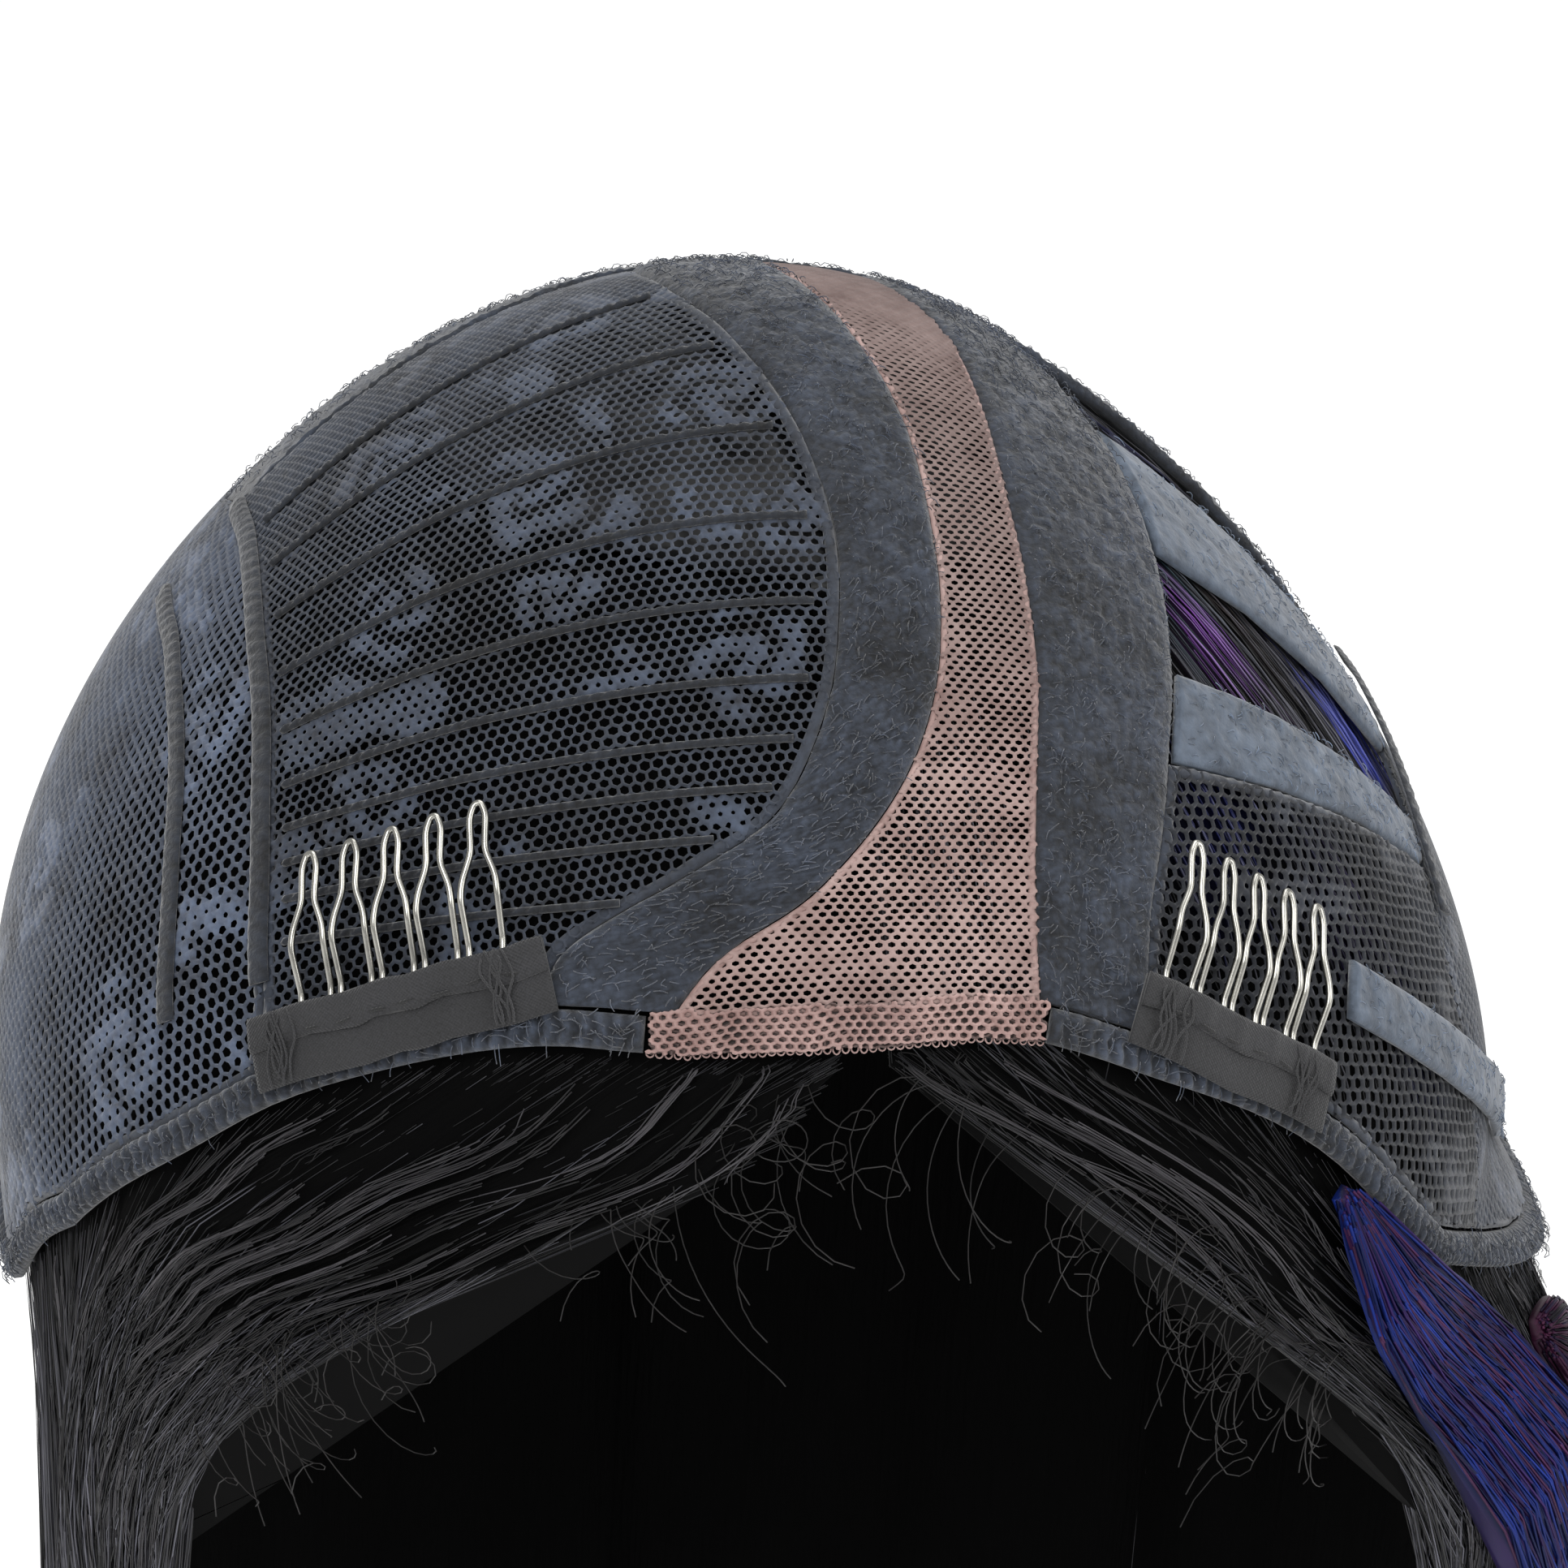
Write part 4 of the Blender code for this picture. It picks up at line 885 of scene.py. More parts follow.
@dataclass
class LacePart:
    """Skin-toned lace strip from the forehead to the crown, with a folded hem at its foot."""

    plan: CapPlan
    cells: Honeycomb = Honeycomb(
        0.00148, 0.62, 0.00033, 0.00055, 0.0008, 0.16, ((20.0, 0.66), (45.0, 0.74), (58.0, 0.55), (75.0, 0.40)),
    )
    folds: tuple = (Honeycomb(0.00130, 0.62, 0.00027, 0.0004, 0.0009, 0.22),
                    Honeycomb(0.00142, 0.66, 0.00030, 0.0009, 0.0014, 0.22))
    backing: float = 0.0004
    overlap: float = 0.0014

    def make(self) -> None:
        """Makes the lattice and the hem, and reports them."""
        form, plan = self.plan.form, self.plan
        chart = Chart(form, tuple(form.over(5.0, 52.0)), (0.0, 0.55, 0.83))
        grid = plan.panel("lace_part", 160, 30)
        piece = Workpiece(form)
        self.cells.weave(piece, chart, outline_of(grid), None, (1.0, 1.0, 1.0), 11)
        welt(piece, grid, plan.panel("lace_part", 160, 30, 0.0008), 0.0001, 0.0008, (0.8, 0.78, 0.78))
        declare_cloth(piece.build("lace_strip", SKIN_LACE, ("lace_part",)), grid)
        clear = math.degrees(plan.seam_gap / 2.0 / form.front_depth)
        line = form.rim_line(plan.lace_feet[0] + clear, plan.lace_feet[1] - clear, 240)
        piece = Workpiece(form)
        piece.slab(form.strip(line, 0.0, -plan.hem_width - self.overlap / 2.0, 13), 0.0, self.backing, (0.10, 0.09, 0.09), 12)
        line = form.rim_line(plan.lace_feet[0] - clear, plan.lace_feet[1] + clear, 240)
        border = outline_of(form.strip(line, 0.0002, -plan.hem_width - self.overlap, 13))
        # The lower fold is tinted down to 0.25 as painted shade under the upper fold, which is tinted 0.80
        for seed, (cells, shade) in enumerate(zip(self.folds, (0.25, 0.80)), 12):
            cells.weave(piece, chart, border, None, (shade * 1.06, shade, shade), seed)
        self.picots(piece, line)
        piece.build("lace_fold", SKIN_LACE, ("lace_hem",))

    def picots(self, piece: Workpiece, line: Array) -> None:
        """Adds small thread loops along the hem's lower edge, half rings that hang from it."""
        form = self.plan.form
        count = 44
        feet = even(line, count * 2)[1::2]
        side = form.side_of(feet)
        ahead = unit(np.gradient(feet, axis=0))
        turn = np.linspace(0.0, math.pi, 7)[None, :, None]
        drop = 0.0005 * (1.0 + 0.4 * wander(np.arange(count) * 0.7, 0.0, 8))[:, None, None]
        loops = feet[:, None] - ahead[:, None] * np.cos(turn) * 0.00042 + side[:, None] * np.sin(turn) * drop
        piece.tubes(form.on_form(loops, 0.0006), 0.00012, 3, (0.9, 0.86, 0.86))


def outline_of(grid: Array) -> Array:
    """The points round a grid's border."""
    return np.vstack([grid[0, :-1], grid[:-1, -1], grid[-1, :0:-1], grid[:0:-1, 0]])


def declare_cloth(item: bpy.types.Object, grid: Array) -> None:
    """Measures a sewn panel's grid: the longest of its lines across and the longest along it; nothing is done with
    these lengths.

    A tape narrower than the least sheet is left out.
    """
    width = max(length_of(row) for row in grid)
    length = max(length_of(grid[:, column]) for column in range(grid.shape[1]))


def welt(piece: Workpiece, outer: Array, inner: Array, low: float, high: float, tint: Array | tuple) -> None:
    """Adds a narrow closed edge between a panel's border and the same border drawn in, along all four sides."""
    share = np.array([0.0, 0.5, 1.0])[None, :, None]
    sides = ((outer[0], inner[0]), (outer[-1], inner[-1]), (outer[:, 0], inner[:, 0]), (outer[:, -1], inner[:, -1]))
    for far, near in sides:
        count = (len(far) - 1) // 2 * 2 + 1
        far, near = even(far, count - 1), even(near, count - 1)
        grid = far[:, None] * (1.0 - share) + near[:, None] * share
        run = np.linspace(0.0, length_of(far), count)[:, None]
        bead = high * (0.75 + 0.25 * np.sin(2.0 * math.pi * run / 0.0016 + np.array([[0.0, 1.5, 3.0]])))
        piece.slab(grid, low, bead * np.array([[0.7, 1.0, 0.7]]), tint, 2)


@dataclass
class KnitBand:
    """Fuzzy knit band: rows of raised loops under a bloom of loose fibres."""

    plan: CapPlan
    node: str
    rows: int
    columns: int
    wall: float = 0.0016
    wale: float = 0.0011
    course: float = 0.0013
    fibres: int = 900
    seed: int = 21

    def make(self) -> None:
        """Makes the band: a wall whose top rises in staggered loops, the product of waves across and along."""
        form = self.plan.form
        grid = self.plan.panel(self.node, self.rows, self.columns)
        rows, columns = grid.shape[:2]
        step = math.gcd(rows - 1, columns - 1)
        along = np.concatenate([[0.0], np.cumsum(np.linalg.norm(np.diff(grid[:, columns // 2], axis=0), axis=1))])
        width = np.linalg.norm(grid[:, -1] - grid[:, 0], axis=1)
        along, across = along[:, None], np.linspace(-0.5, 0.5, columns)[None] * width[:, None]
        wale = across / self.wale + 0.35 * wander(across / 0.004, along / 0.004, self.seed)
        loops = np.abs(np.sin(math.pi * wale)) * (
            0.6 + 0.4 * np.sin(2.0 * math.pi * along / self.course + math.pi * np.floor(wale))
        )
        pile = wander(across / 0.0008, along / 0.0008, self.seed + 1)
        tufts = wander(across / 0.0026, along / 0.0026, self.seed + 2)
        edge = 1.0 - np.abs(np.linspace(-1.0, 1.0, columns)[None]) ** 8 * 0.55
        high = self.wall * edge * (0.62 + 0.26 * loops + 0.10 * pile + 0.10 * tufts)
        # The colour follows the loops: painted light on their tops and painted shade in the pits between stitches; pile
        # and tufts vary the tone unevenly
        shade = (0.62 + 0.55 * loops + 0.30 * pile + 0.25 * tufts)[..., None] * np.array([1.0, 1.0, 1.0])
        piece = Workpiece(form)
        piece.slab(grid, 0.00005, np.clip(high, 0.0004, self.wall * 1.1), np.clip(shade, 0.3, 2.0), step)
        fuzz(piece, grid, self.fibres, self.wall * 0.85, 0.0016, self.seed + 3)
        declare_cloth(piece.build(f"{self.node}_knit", BRUSHED_KNIT, (self.node,)), grid)


def fuzz(piece: Workpiece, grid: Array, count: int, lift: float, reach: float, seed: int) -> None:
    """Adds loose fibres: short arcs that leave the cloth at random places and bend back to it.

    Args:
        piece: The piece that takes them.
        grid: Points on the form under the cloth.
        count: Number of fibres.
        lift: Height of the cloth's surface.
        reach: Greatest length of a fibre.
        seed: Seed of their places.
    """
    random = np.random.default_rng(seed)
    rows, columns = grid.shape[:2]
    row, column = random.integers(2, rows - 2, count), random.integers(1, columns - 1, count)
    foot = grid[row, column]
    along, across = unit(grid[row + 1, column] - grid[row - 1, column]), unit(grid[row, column + 1] - grid[row, column - 1])
    turn = random.uniform(0.0, 2.0 * math.pi, (count, 1))
    way = along * np.cos(turn) + across * np.sin(turn)
    aside = along * np.sin(turn) - across * np.cos(turn)
    share = np.linspace(0.0, 1.0, 4)[None, :, None]
    size = reach * random.uniform(0.35, 1.0, (count, 1, 1))
    bend = random.uniform(-0.5, 0.5, (count, 1, 1))
    paths = foot[:, None] + size * (way[:, None] * share + aside[:, None] * bend * share**2)
    height = lift + (size * random.uniform(0.05, 0.40, (count, 1, 1)) * np.sin(math.pi * share))[..., 0]
    shade = random.uniform(0.8, 2.0, (count, 1)) * np.array([[1.0, 1.03, 1.08]])
    piece.tubes(piece.form.on_form(paths, height), 0.00006, 3, shade)


@dataclass
class NetPanel:
    """A panel of rose-patterned stretch net with a beaded edge."""

    plan: CapPlan
    node: str
    middle: tuple
    upward: tuple
    cells: Honeycomb
    pattern: RosePattern | None = None
    tint: tuple = (1.0, 1.0, 1.0)
    seed: int = 31

    def make(self) -> None:
        """Makes the lattice inside the panel's border, and the edge round it."""
        form = self.plan.form
        piece = Workpiece(form)
        grid = self.plan.panel(self.node, 96, 60)
        chart = Chart(form, self.middle, self.upward)
        self.cells.weave(piece, chart, outline_of(grid), self.pattern, self.tint, self.seed)
        welt(piece, grid, self.plan.panel(self.node, 96, 60, 0.0013), 0.0001, 0.0009, (0.9, 0.9, 0.9))
        declare_cloth(piece.build(f"{self.node}_cloth", NET_THREAD, (self.node,)), grid)


@dataclass
class Track:
    """A sewn line laid over a net: a low cord of slanting stitches."""

    plan: CapPlan
    node: str
    line: Array
    width: float
    low: float
    high: float
    stitch: float = 0.0016
    shade: float = 0.8

    def make(self) -> None:
        """Makes the track: a wall with a rounded top, notched by slanting waves."""
        form = self.plan.form
        length = length_of(self.line)
        rows = int(length / (self.stitch / 4.0)) // 2 * 2
        line = form.on_form(even(self.line, rows))
        along = np.linspace(0.0, length, rows + 1)[:, None]
        across = np.linspace(-1.0, 1.0, 7)[None]
        drift = 0.12 * self.width * wander(along / 0.012, 0.0, len(self.node))
        grid = form.strip(line, drift[:, 0] - self.width / 2.0, drift[:, 0] + self.width / 2.0, 7)
        stitches = np.sin(2.0 * math.pi * (along / self.stitch + across * 0.35))
        high = self.low + (self.high - self.low) * (1.0 - across**4 * 0.7) * (0.74 + 0.26 * stitches)
        # The colour follows the stitches: painted light on their crests and painted shade in the notches between them
        shade = self.shade * (0.85 + 0.3 * stitches)
        piece = Workpiece(form)
        piece.slab(grid, self.low, high, shade[..., None] * np.ones(3), 2)
        piece.build(f"{self.node}_stitched", BRUSHED_KNIT, (self.node,))


@dataclass
class Strap:
    """Wide brushed elastic: a felt-like wall with a soft edge."""

    plan: CapPlan
    node: str
    grid: Array
    low: float
    wall: float = 0.0015
    seed: int = 41

    def make(self) -> None:
        """Makes the strap: a wall with rounded long edges and a mottled pile."""
        form = self.plan.form
        rows, columns = self.grid.shape[:2]
        along = np.linspace(0.0, length_of(self.grid[:, columns // 2]), rows)[:, None]
        across = np.linspace(0.0, length_of(self.grid[rows // 2]), columns)[None]
        mottle = wander(along / 0.0030, across / 0.0022, self.seed)
        pile = wander(along / 0.0011, across / 0.0009, self.seed + 1)
        edge = 1.0 - np.abs(np.linspace(-1.0, 1.0, columns)[None]) ** 6 * 0.5
        high = self.low + self.wall * edge * (0.80 + 0.12 * mottle + 0.08 * pile)
        shade = (0.95 + 0.12 * mottle + 0.10 * pile)[..., None] * np.ones(3)
        piece = Workpiece(form)
        piece.slab(self.grid, self.low, high, shade, math.gcd(rows - 1, columns - 1))
        fuzz(piece, self.grid, 260, self.low + self.wall * 0.75, 0.0016, self.seed + 2)
        declare_cloth(piece.build(f"{self.node}_elastic", FELT_STRAP, (self.node,)), self.grid)


@dataclass
class Rim:
    """Chain-knit edge of the cap: two rows of slanting links between raised borders."""

    plan: CapPlan
    side: Side
    wall: float = 0.0020
    link: float = 0.0019

    def make(self) -> None:
        """Makes the rim: links lean to each side of its middle, as in a plait."""
        form, plan = self.plan.form, self.plan
        half = math.degrees(plan.seam_gap / form.half_width)
        if self.side is Side.LEFT:
            line, width = form.rim_line(plan.lace_feet[0] - half, half - 180.0, 640), plan.rim_width
        else:
            line, width = form.rim_line(plan.lace_feet[1] + half, 180.0 - half, 640), -plan.rim_width
        grid = form.strip(line, 0.0, width, 9)
        along = np.linspace(0.0, length_of(line), len(line))[:, None]
        across = np.linspace(-1.0, 1.0, 9)[None]
        links = np.sin(2.0 * math.pi * (along / self.link - 0.45 * np.abs(across)))
        pile = wander(along / 0.0009, across * 3.0, 7)
        high = self.wall * (1.0 - across**4 * 0.5) * (0.70 + 0.20 * links + 0.10 * pile)
        # The colour follows the links: painted light on their raised middles and painted shade between them; the pile
        # varies the tone unevenly
        shade = np.clip(0.80 + 0.45 * links + 0.35 * pile, 0.3, 1.8)[..., None] * np.ones(3)
        name = f"rim_{self.side.name.lower()}"
        piece = Workpiece(form)
        piece.slab(grid, 0.0, high, shade, 8)
        fuzz(piece, grid, 900, self.wall * 0.8, 0.0022, 17)
        piece.build(f"{name}_chain", BRUSHED_KNIT, (name,))


@dataclass
class CombClip:
    """Bent wire comb held by a sewn ribbon: narrow-necked teeth that stand out of the ribbon's upper edge."""

    form: HeadForm
    side: Side
    rows: tuple
    margins: tuple
    lean: float
    net_wall: float = 0.0010
    layer_gap: float = 0.0005
    tape_wall: float = 0.0010
    ribbon_width: float = 0.0080
    flap_width: float = 0.0036
    wire_radius: float = 0.0004
    tooth_length: float = 0.0200
    tip_rise: float = 0.0016
    teeth: int = 5
    tooth: tuple = (
        (-0.36, 0.00), (-0.37, 0.24), (-0.40, 0.52), (-0.36, 0.60), (-0.15, 0.74), (-0.18, 0.93), (-0.07, 1.00),
        (0.07, 1.00), (0.18, 0.93), (0.15, 0.74), (0.36, 0.60), (0.40, 0.52), (0.37, 0.24), (0.36, 0.00),
    )

    @property
    def wire_lift(self) -> float:
        """Height of the wire's middle under the ribbon."""
        return self.net_wall + self.layer_gap + self.wire_radius

    @property
    def ribbon_lift(self) -> float:
        """Height of the ribbon's back."""
        return self.wire_lift + self.wire_radius + self.layer_gap

    def make(self) -> None:
        """Makes the comb and its ribbon."""
        centre = self.form.line([self.form.around(*row) for row in self.rows], 72)
        self.make_wire(centre)
        self.make_ribbon(centre)

    def make_wire(self, centre: Array) -> None:
        """Bends the wire: a table of turns for one tooth, repeated along the ribbon and eased at each turn."""
        form = self.form
        length = length_of(centre)
        run = np.linspace(0.0, length, len(centre))
        pitch = (length - sum(self.margins)) / self.teeth
        turns = np.array(self.tooth)
        middles = self.margins[0] + pitch * (np.arange(self.teeth) + 0.5)
        across = (middles[:, None] + pitch * turns[None, :, 0]).ravel()
        up = np.tile(self.tooth_length * turns[:, 1], self.teeth)
        across, up = self.ease(np.stack([across, up], axis=1)).T
        foot = np.stack([np.interp(across, run, centre[:, axis]) for axis in range(3)], axis=1)
        ahead = np.stack([np.interp(across, run, np.gradient(centre[:, axis])) for axis in range(3)], axis=1)
        ahead = unit(ahead)
        side = unit(np.cross(form.out(foot), ahead))
        covered = self.tooth[1][1]
        free = np.clip((up / self.tooth_length - covered) / (1.0 - covered), 0.0, 1.0)
        tooth_lift = self.net_wall + 2 * self.layer_gap + self.tape_wall + 2 * self.wire_radius
        lift = self.wire_lift + (tooth_lift - self.wire_lift) * smooth(free * 2.5) + self.tip_rise * free
        path = form.on_form(foot + (side + self.lean * ahead) * up[:, None], lift)
        piece = Workpiece(form)
        piece.tubes(path[None], self.wire_radius, 10)
        name = f"comb_{self.side.name.lower()}"
        piece.build(f"{name}_wire", SPRING_STEEL, (name,))

    def ease(self, turns: Array) -> Array:
        """Rounds a bent line: each corner is cut by a curve that leaves and meets it at a set distance."""
        before, after = turns[:-2], turns[2:]
        corner = turns[1:-1]
        near = np.linalg.norm(before - corner, axis=1, keepdims=True)
        far = np.linalg.norm(after - corner, axis=1, keepdims=True)
        cut = np.minimum(0.0009, 0.48 * np.minimum(near, far))
        start = corner + (before - corner) / near * cut
        end = corner + (after - corner) / far * cut
        share = np.linspace(0.0, 1.0, 7)[None, :, None]
        curve = start[:, None] * (1 - share) ** 2 + 2 * corner[:, None] * share * (1 - share) + end[:, None] * share**2
        return np.vstack([turns[:1], curve.reshape(-1, 2), turns[-1:]])

    def make_ribbon(self, centre: Array) -> None:
        """Makes the ribbon's two layers, its running stitch and the tacks at its ends."""
        form, half, low = self.form, self.ribbon_width / 2.0, self.ribbon_lift
        length = length_of(centre)
        along = np.linspace(0.0, length, len(centre))[:, None]
        seed = 51 + self.side.value
        fray = 0.00025 * wander(along[:, 0] / 0.0035, 0.0, seed)
        piece = Workpiece(form)
        across = np.linspace(-1.0, 1.0, 13)[None]
        sag = 0.10 * wander(along / 0.006, across * 1.5, seed + 1)
        wires = self.bulge(along, across)
        layer = low + self.tape_wall * np.clip(0.52 + sag + 0.25 * wires, 0.30, 0.85) * (1.0 - across**8 * 0.35)
        piece.slab(form.strip(centre, fray - half, half + fray, 13), low, layer, (1.0, 1.0, 1.0), 12)
        flap = form.strip(centre, -half - 0.0002 + fray, self.flap_width - half + 2.0 * fray, 9)
        across = np.linspace(-1.0, 1.0, 9)[None]
        top = low + self.tape_wall * (1.05 + sag[:, :9] + 0.20 * self.bulge(along, across * 0.4 - 0.6)
                                      - 0.25 * across**6)
        # The flap is tinted 1.12 times the layer under it: painted light on the upper layer
        piece.slab(flap, low + self.tape_wall * 0.55, top, (1.12, 1.12, 1.12), 8)
        self.stitch(piece, centre, seed)
        name = f"comb_ribbon_{self.side.name.lower()}"
        piece.build(f"{name}_cloth", GROSGRAIN, (name,))

    def bulge(self, along: Array, across: Array) -> Array:
        """How much the legs of the comb raise the ribbon: ridges at their pitch, fading below its middle."""
        length = float(along[-1, 0])
        pitch = (length - sum(self.margins)) / self.teeth
        inside_comb = (along > self.margins[0]) & (along < length - self.margins[1])
        ridge = np.abs(np.cos(math.pi * (along - self.margins[0]) / pitch)) ** 6
        return ridge * inside_comb * smooth((0.2 - across) / 0.8)

    def stitch(self, piece: Workpiece, centre: Array, seed: int) -> None:
        """Adds the running stitch below the flap's edge, and knotted tacks across both ends."""
        form = self.form
        length = length_of(centre)
        run = np.linspace(0.0, length, len(centre))
        count = int(length / 0.0042)
        starts = np.linspace(0.0035, length - 0.0055, count)
        share = np.linspace(0.0, 1.0, 8)
        along = starts[:, None] + 0.0026 * share[None]
        across = self.flap_width - self.ribbon_width / 2.0 - 0.0007 + 0.0003 * wander(along / 0.003, 0.0, seed + 2)
        height = self.ribbon_lift + self.tape_wall * 1.08 - 0.0004 * np.abs(2.0 * share - 1.0) ** 3
        piece.tubes(self.lay(centre, run, along, across, height), 0.00022, 5, (0.42, 0.42, 0.42))
        random = np.random.default_rng(seed)
        for end in (0.0042, length - 0.0050):
            share = np.linspace(0.0, 1.0, 14)[None]
            phase = random.uniform(0.0, 6.28, (7, 1))
            lean = random.uniform(-0.0016, 0.0016, (7, 1))
            along = end + lean + 0.0007 * np.sin(phase + 5.0 * share)
            across = -0.0038 + 0.0074 * share + 0.0004 * np.sin(phase * 2.0 + 7.0 * share)
            height = self.ribbon_lift + self.tape_wall * (1.05 + 0.35 * np.sin(math.pi * share))
            piece.tubes(self.lay(centre, run, along, across, height), 0.00016, 4, (1.5, 1.5, 1.5))

    def lay(self, centre: Array, run: Array, along: Array, across: Array, height: Array) -> Array:
        """Points above the ribbon's line at distances along and across it."""
        foot = np.stack([np.interp(along, run, centre[:, axis]) for axis in range(3)], axis=-1)
        way = np.stack([np.interp(along, run, np.gradient(centre[:, axis])) for axis in range(3)], axis=-1)
        side = unit(np.cross(way, self.form.out(foot)))
        return self.form.on_form(foot + side * across[..., None], np.broadcast_to(height, along.shape))


@dataclass(frozen=True)
class HairColours:
    """The fibres' colours: black, with dyed places that are given by their angles over the head and width."""

    black: str = "#0b0b0d"
    spots: tuple = (
        (29, 70, 7, "#0f2a35"), (33.5, 65, 4.5, "#7d3fa2"), (38, 72, 4, "#221918"), (55, 75, 8, "#3c49b8"),
        (30, 94, 7, "#1f2462"), (33, 90, 4, "#86498f"), (31, 45, 9, "#1d2566"), (44, 39, 5, "#281a50"),
        (54, 22, 8, "#181b44"),
    )

    def tint(self, points: Array, depth: Array | float = 0.0) -> Array:
        """Linear colours of points on the form: each spot fades out towards its edge."""
        direction = unit(points)
        side = np.degrees(np.arcsin(direction[..., 0]))
        over = np.degrees(np.arctan2(direction[..., 2], -direction[..., 1]))
        colour = np.broadcast_to(np.array(linear(self.black)), points.shape).copy()
        for at_side, at_over, width, dye in self.spots:
            away = np.hypot(side - at_side, (over - at_over) * np.cos(np.radians(at_side)))
            uneven = 1.0 + 0.35 * wander(side / 2.1, over / 3.3, int(at_over))
            share = smooth((width * uneven - away) / (0.5 * width))[..., None]
            colour = colour * (1.0 - share) + np.array(linear(dye)) * share
        return colour


@dataclass
class HairSection:
    """A wall of hair that follows the form to the rim and falls from it in locks, dressed with strands."""

    plan: CapPlan
    node: str
    edge: int | float
    back: float
    strands: int
    upper_strands: int
    tufts: int = 0
    colours: HairColours = HairColours()
    seed: int = 61
    wall: float = 0.0040
    gap: float = 0.0011
    hem_fall: float = 2.90
    crown_fall: float = 0.30
    under_rim: float = 0.0018
    edge_share: float = 0.14
    tuft_hairs: int = 5
    knots: int = 8
    frizz_colour: str = "#1f1e20"
    locks: int = 3
    lock_depth: float = 0.0030
    lock_tip: float = 0.0120
    flare_left: float = 0.0050
    flare_right: float = 0.0060
    flare_length: float = 0.0700
    section_gap: float = 0.0
    parting: tuple = (
        (0.69, -0.4, 0.4), (0.72, -3, 4), (0.79, -10, 14), (0.84, -20, 20), (0.90, -28, 25), (0.95, -36, 28),
        (1.05, -44, 37), (1.25, -51, 47), (1.60, -55, 53), (2.90, -57, 56),
    )

    def front(self, fall: Array) -> Array:
        """Azimuth of the section's front edge at a fall."""
        gap = math.degrees(self.section_gap / 2.0 / self.plan.form.half_width) * math.copysign(1.0, self.back)
        if isinstance(self.edge, int):
            return follow(fall, self.parting, self.edge) + gap
        return np.full(np.shape(fall), float(self.edge) + gap)

    def place(self, across: Array, down: Array, depth: Array | float) -> Array:
        """Points of the hair.

        Args:
            across: Share from the front edge to the back edge.
            down: 0 at the crown, 1 at the rim and 2 at the hem.
            depth: Share of the wall inward from its outer side.

        Returns:
            Points about the dome's centre.
        """
        form = self.plan.form
        across, down = np.broadcast_arrays(across, down)
        gap = math.degrees(self.section_gap / 2.0 / form.half_width) * math.copysign(1.0, self.back)
        back = self.back - gap
        azimuth = self.front(np.full(across.shape, 0.69)) * (1.0 - across) + back * across
        for _ in range(12):
            fall = follow(azimuth, form.rim) + self.under_rim / form.crown_height
            azimuth = self.front(fall) * (1.0 - across) + back * across
        profile = (1.0 - np.cos(2.0 * math.pi * self.locks * across)) / 2.0
        start = self.crown_fall - 0.01
        hem = self.hem_fall - (1.0 - profile) * self.lock_tip / form.crown_height
        falls = np.where(down < 1.0, start + (fall - start) * np.clip(down, 0.0, 1.0), fall + (hem - fall) * (down - 1.0))
        azimuths = np.where(down < 1.0, azimuth, self.front(falls) * (1.0 - across) + back * across)
        below = np.clip(falls - fall, 0.0, None) * form.crown_height
        most = self.flare_left + (self.flare_right - self.flare_left) * smooth(np.sin(np.radians(azimuths)))
        hollow = self.lock_depth * (1.0 - profile) * smooth(below / (self.flare_length / 2.0))
        lift = most * smooth(below / self.flare_length) - hollow - self.gap - self.wall * np.asarray(depth)
        return form.on_form(form.around(azimuths, falls), lift)

    def make(self) -> None:
        """Makes the wall and its strands."""
        form = self.plan.form
        random = np.random.default_rng(self.seed)
        piece = Workpiece(form)
        across, down = np.linspace(0.0, 1.0, 73)[None], np.linspace(0.0, 2.0, 49)[:, None]
        furrow = wander(across * 70.0, down * 5.0, self.seed) + 0.6 * wander(across * 150.0, down * 9.0, self.seed + 1)
        depth = 0.30 + 0.13 * furrow
        top, back = self.place(across, down, depth), self.place(across, down, 1.0)
        # The wall's colour is dimmed to half and further by its finish: painted shade of the hair's depth, varied along
        # its furrows
        self.wall_between(piece, top, back, self.colours.tint(top) * (0.50 + 0.30 * furrow[..., None]))
        piece.build(f"{self.node}_mass", HAIR_MASS_PAINTED_SHADE, (self.node,))
        piece = Workpiece(form)
        self.comb_out(piece, random, self.strands, 0.97, 2.0, 0.00012)
        if self.upper_strands:
            self.comb_out(piece, random, self.upper_strands, 0.02, 1.04, 0.00014)
        if self.tufts:
            self.frizz(piece, random)
        piece.build(f"{self.node}_strands", HAIR_FIBRE)

